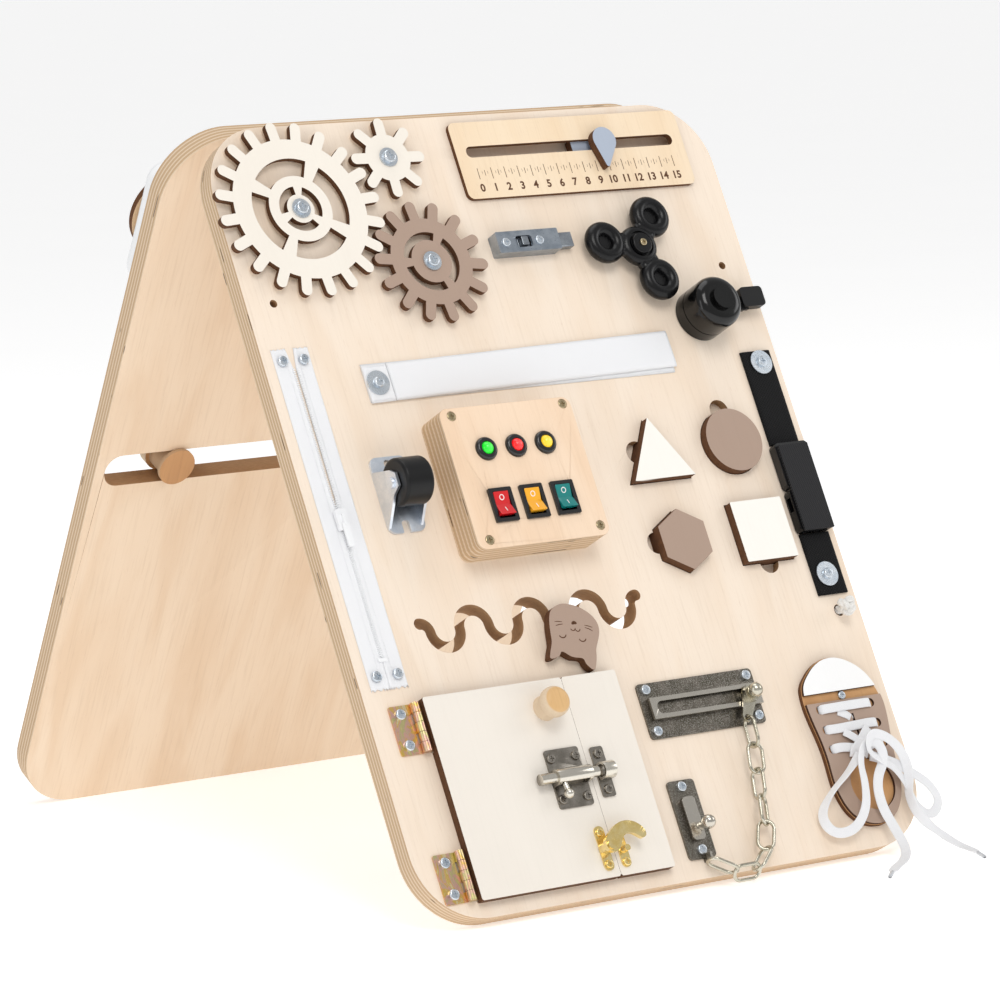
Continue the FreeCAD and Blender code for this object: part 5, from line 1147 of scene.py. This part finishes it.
# ------------------------------------------------------------------ marks on the rockers
LZ = 22.2
for (x, y), body in (((-67.3, 238.0), "red_rocker"), ((-44.8, 238.0), "yellow_rocker"), ((-22.3, 238.0), "green_rocker")):
    ca, sa = math.cos(math.radians(-9.0)), math.sin(math.radians(-9.0))

    def on_paddle(p, h):
        q = 2.2 + abs(p) * 2.4 / 7.6 + h
        return y + p * ca - q * sa, LZ - 1.2 + p * sa + q * ca

    verts, faces = [], []
    ring = []
    n = 24
    for k in range(n):
        a = 2 * math.pi * k / n
        for r in (1.25, 1.75):
            for h in (-0.05, 0.05):
                v_, w_ = on_paddle(4.0 + r * math.sin(a), h)
                verts.append((x + r * math.cos(a), v_, w_))
    for k in range(n):
        i, j = 4 * k, 4 * ((k + 1) % n)
        faces += [(i + 1, i + 3, j + 3, j + 1), (i, j, j + 2, i + 2), (i, i + 1, j + 1, j), (i + 2, j + 2, j + 3, i + 3)]
    k = len(verts)
    for px, pv in ((-0.28, -5.4), (0.28, -5.4), (0.28, -2.4), (-0.28, -2.4)):
        for h in (-0.05, 0.05):
            v_, w_ = on_paddle(pv, h)
            verts.append((x + px, v_, w_))
    faces += [(k + 1, k + 3, k + 5, k + 7), (k, k + 6, k + 4, k + 2), (k, k + 2, k + 3, k + 1), (k + 2, k + 4, k + 5, k + 3), (k + 4, k + 6, k + 7, k + 5), (k + 6, k, k + 1, k + 7)]
    mesh_piece(body + "_marks", verts, faces, "mark", body, FRONT, smooth=False)


# ------------------------------------------------------------------ shoe: two colours on one node, lace bars
def upper_mat():
    k = Mat("shoe_top_paint")
    uvw = k.coords()
    u, v, w = k.sep(uvw)
    c, fine, streak = face_grain(k, uvw, (1, 1, 1), (0.92, 0.90, 0.88), 0.0, 33.0)
    base = k.mix(k.step(v, 96.4, 96.6), TAUPE, lin(246, 246, 246))
    col = k.mix(0.3, base, k.mix(1.0, base, c, "MULTIPLY"))
    edge = k.mix(k.noise(uvw, (0.4, 0.4, 2.4), 3), lin(30, 16, 9), lin(88, 54, 32))
    flat = k.facing("F", 0.6, 0.8)
    peel = k.noise(uvw, 1.6, 3, 0.55)
    k.set("Base Color", k.mix(flat, edge, col))
    k.set("Roughness", k.mixf(flat, 0.85, k.math("ADD", 0.5, k.math("MULTIPLY", peel, 0.1))))
    k.bump(k.math("ADD", peel, fine), 0.00004, 0.4)
    return k.m


M["shoe"] = upper_mat()
give("shoe_upper", "shoe")


def ribbon_on_board(name, pts, rolls=None, width=5.9, thick=1.1, mat="lace", cup=10.0):
    line = [P(*p) for p in pts]
    cu = bpy.data.curves.new("r", "CURVE")
    cu.dimensions = "3D"
    sp = cu.splines.new("NURBS")
    sp.points.add(len(line) - 1)
    for q, p in zip(sp.points, line):
        q.co = (p.x, p.y, p.z, 1)
    sp.order_u = 3
    sp.use_endpoint_u = True
    cu.resolution_u = 10
    o = bpy.data.objects.new("r", cu)
    scene.collection.objects.link(o)
    pl = read_line(o)
    rolls = rolls or [0] * len(pts)
    wide = roll_frames(pl, line, rolls, [NRM] * len(pts))
    return sweep(name, pl, wide, section_flat(width / 1000, thick / 1000, 14, 3.0), mat, "front_board", cup=cup)


b1 = ribbon_on_board("lace_bar_top", [(127.6, 89.0, 3.2), (128.6, 89.0, 5.9), (133, 89.0, 6.2), (148, 89.1, 6.3), (162, 89.1, 6.2), (166.6, 89.0, 5.9), (167.5, 89.0, 3.2)])
b2 = ribbon_on_board("lace_cross_a", [(127.6, 76.0, 3.2), (128.6, 76.0, 5.6), (134, 75.6, 6.0), (148, 76.0, 5.8), (162, 76.4, 6.1), (167.0, 76.0, 5.7), (168.0, 76.0, 3.2)])
b3 = ribbon_on_board("lace_cross_b", [(127.6, 63.5, 3.2), (128.8, 63.6, 5.6), (134, 63.8, 6.1), (141, 62.6, 6.3), (147, 61.0, 6.4)])
b4 = ribbon_on_board("lace_cross_c", [(168.0, 63.0, 3.2), (166.8, 63.0, 5.6), (161, 63.2, 6.1), (154, 62.0, 6.3), (147, 60.4, 6.5)])
b5 = ribbon_on_board("lace_under", [(140.0, 86.4, 5.4), (144.0, 84.6, 5.5), (148.5, 82.0, 5.2), (150.4, 80.0, 3.4)], width=5.2, thick=0.8)
b6 = ribbon_on_board("lace_diag", [(139.0, 73.0, 6.4), (143.0, 70.0, 7.2), (147.0, 66.0, 7.6), (149.5, 62.5, 7.4), (150.5, 59.5, 7.0)], width=5.4, thick=0.9)
b7 = ribbon_on_board("lace_diag_b", [(158.0, 73.5, 6.6), (154.0, 70.5, 7.4), (149.0, 66.5, 8.2), (145.0, 62.8, 8.0), (142.5, 59.6, 7.0)], width=5.4, thick=0.9)
k1 = ribbon_on_board("lace_knot_wrap", [(140.4, 57.2, 6.6), (140.2, 59.8, 9.6), (144.0, 62.6, 10.7), (147.6, 63.6, 10.4), (149.8, 62.4, 8.2), (149.0, 58.8, 6.6)], width=6.4, thick=1.3)
k2 = ribbon_on_board("lace_knot_core", [(139.6, 62.4, 7.4), (142.6, 60.4, 9.0), (146.0, 58.6, 9.4), (149.2, 57.4, 8.4), (150.4, 56.6, 7.2)], width=6.0, thick=1.5)
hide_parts("lace_crossings")

def catches_mat(name):
    """antiqued keeper above, bright brass catch plate below, on one node; the keeper turns pale towards its top as a
    painted highlight
    """
    k = Mat(name)
    uvw = k.coords()
    u, v, w = k.sep(uvw)
    cloud = k.noise(uvw, 0.3, 3, 0.6)
    fine = k.noise(uvw, 1.4, 4, 0.65)
    brass = k.mix(cloud, (0.88, 0.66, 0.24), (0.95, 0.78, 0.40))
    # keeper lightens from 8.5 to 14 mm up: a painted highlight on its upper parts
    dark = k.mix(k.step(w, 8.5, 14.0), k.mix(cloud, (0.22, 0.20, 0.17), (0.36, 0.33, 0.29)), (0.70, 0.66, 0.58))
    k.set("Base Color", k.mix(k.step(v, 44.0, 46.0), brass, dark))
    k.set("Metallic", 1.0)
    k.set("Roughness", k.math("ADD", 0.17, k.math("MULTIPLY", fine, 0.16)))
    k.bump(k.math("ADD", fine, k.math("MULTIPLY", cloud, 0.3)), 0.00004, 0.35)
    return k.m


M["catches"] = catches_mat("keeper_and_brass_catch")
give("post_catches", "catches")

# ------------------------------------------------------------------ edge wear on hard CAD pieces
for n, wd in (("slide_latch_case", 0.25), ("box_lid", 0.5), ("shape_triangle", 0.25), ("shape_circle", 0.25), ("shape_hexagon", 0.25),
              ("shape_square", 0.25), ("buckle_socket", 0.6), ("buckle_tongue", 0.5), ("chain_plates", 0.35), ("bolt_body", 0.3),
              ("caster_bracket", 0.25), ("spinner_body", 1.4), ("rocker_red", 0.3), ("rocker_yellow", 0.3), ("rocker_green", 0.3),
              ("latch_arm", 0.5), ("slide_latch_bolt", 0.3), ("bell_lever", 0.5), ("post_catches", 0.3), ("zipper_slider", 0.4),
              ("front_panel", 0.5), ("rear_panel", 0.5), ("ruler_pointer", 0.25), ("rear_slide", 0.5), ("door_leaf", 0.2), ("door_post", 0.2)):
    o = NODES[n]
    wm = o.modifiers.new("join", "WELD")
    wm.merge_threshold = 2e-6
    bv = o.modifiers.new("edge", "BEVEL")
    bv.width = wd / 1000
    bv.segments = 3 if wd > 0.4 else 2
    bv.limit_method = "ANGLE"
    bv.angle_limit = math.radians(50)
    bv.harden_normals = False
    bv.use_clamp_overlap = True

# ------------------------------------------------------------------ floor
fm = Mat("floor_white")
fn = fm.noise(fm.coords("W"), 0.004, 2)
fm.set("Base Color", fm.mix(fn, (0.93, 0.93, 0.93), (0.96, 0.96, 0.96)))
fm.set("Roughness", 0.75)
fm.set("Specular IOR Level", 0.1)
fm.set("Emission Color", (1, 1, 1, 1))
fm.set("Emission Strength", 0.42)
me = bpy.data.meshes.new("floor")
me.from_pydata([(-50, -50, 0), (50, -50, 0), (50, 50, 0), (-50, 50, 0)], [], [(0, 1, 2, 3)])
me.materials.append(fm.m)
floor = bpy.data.objects.new("floor", me)
scene.collection.objects.link(floor)
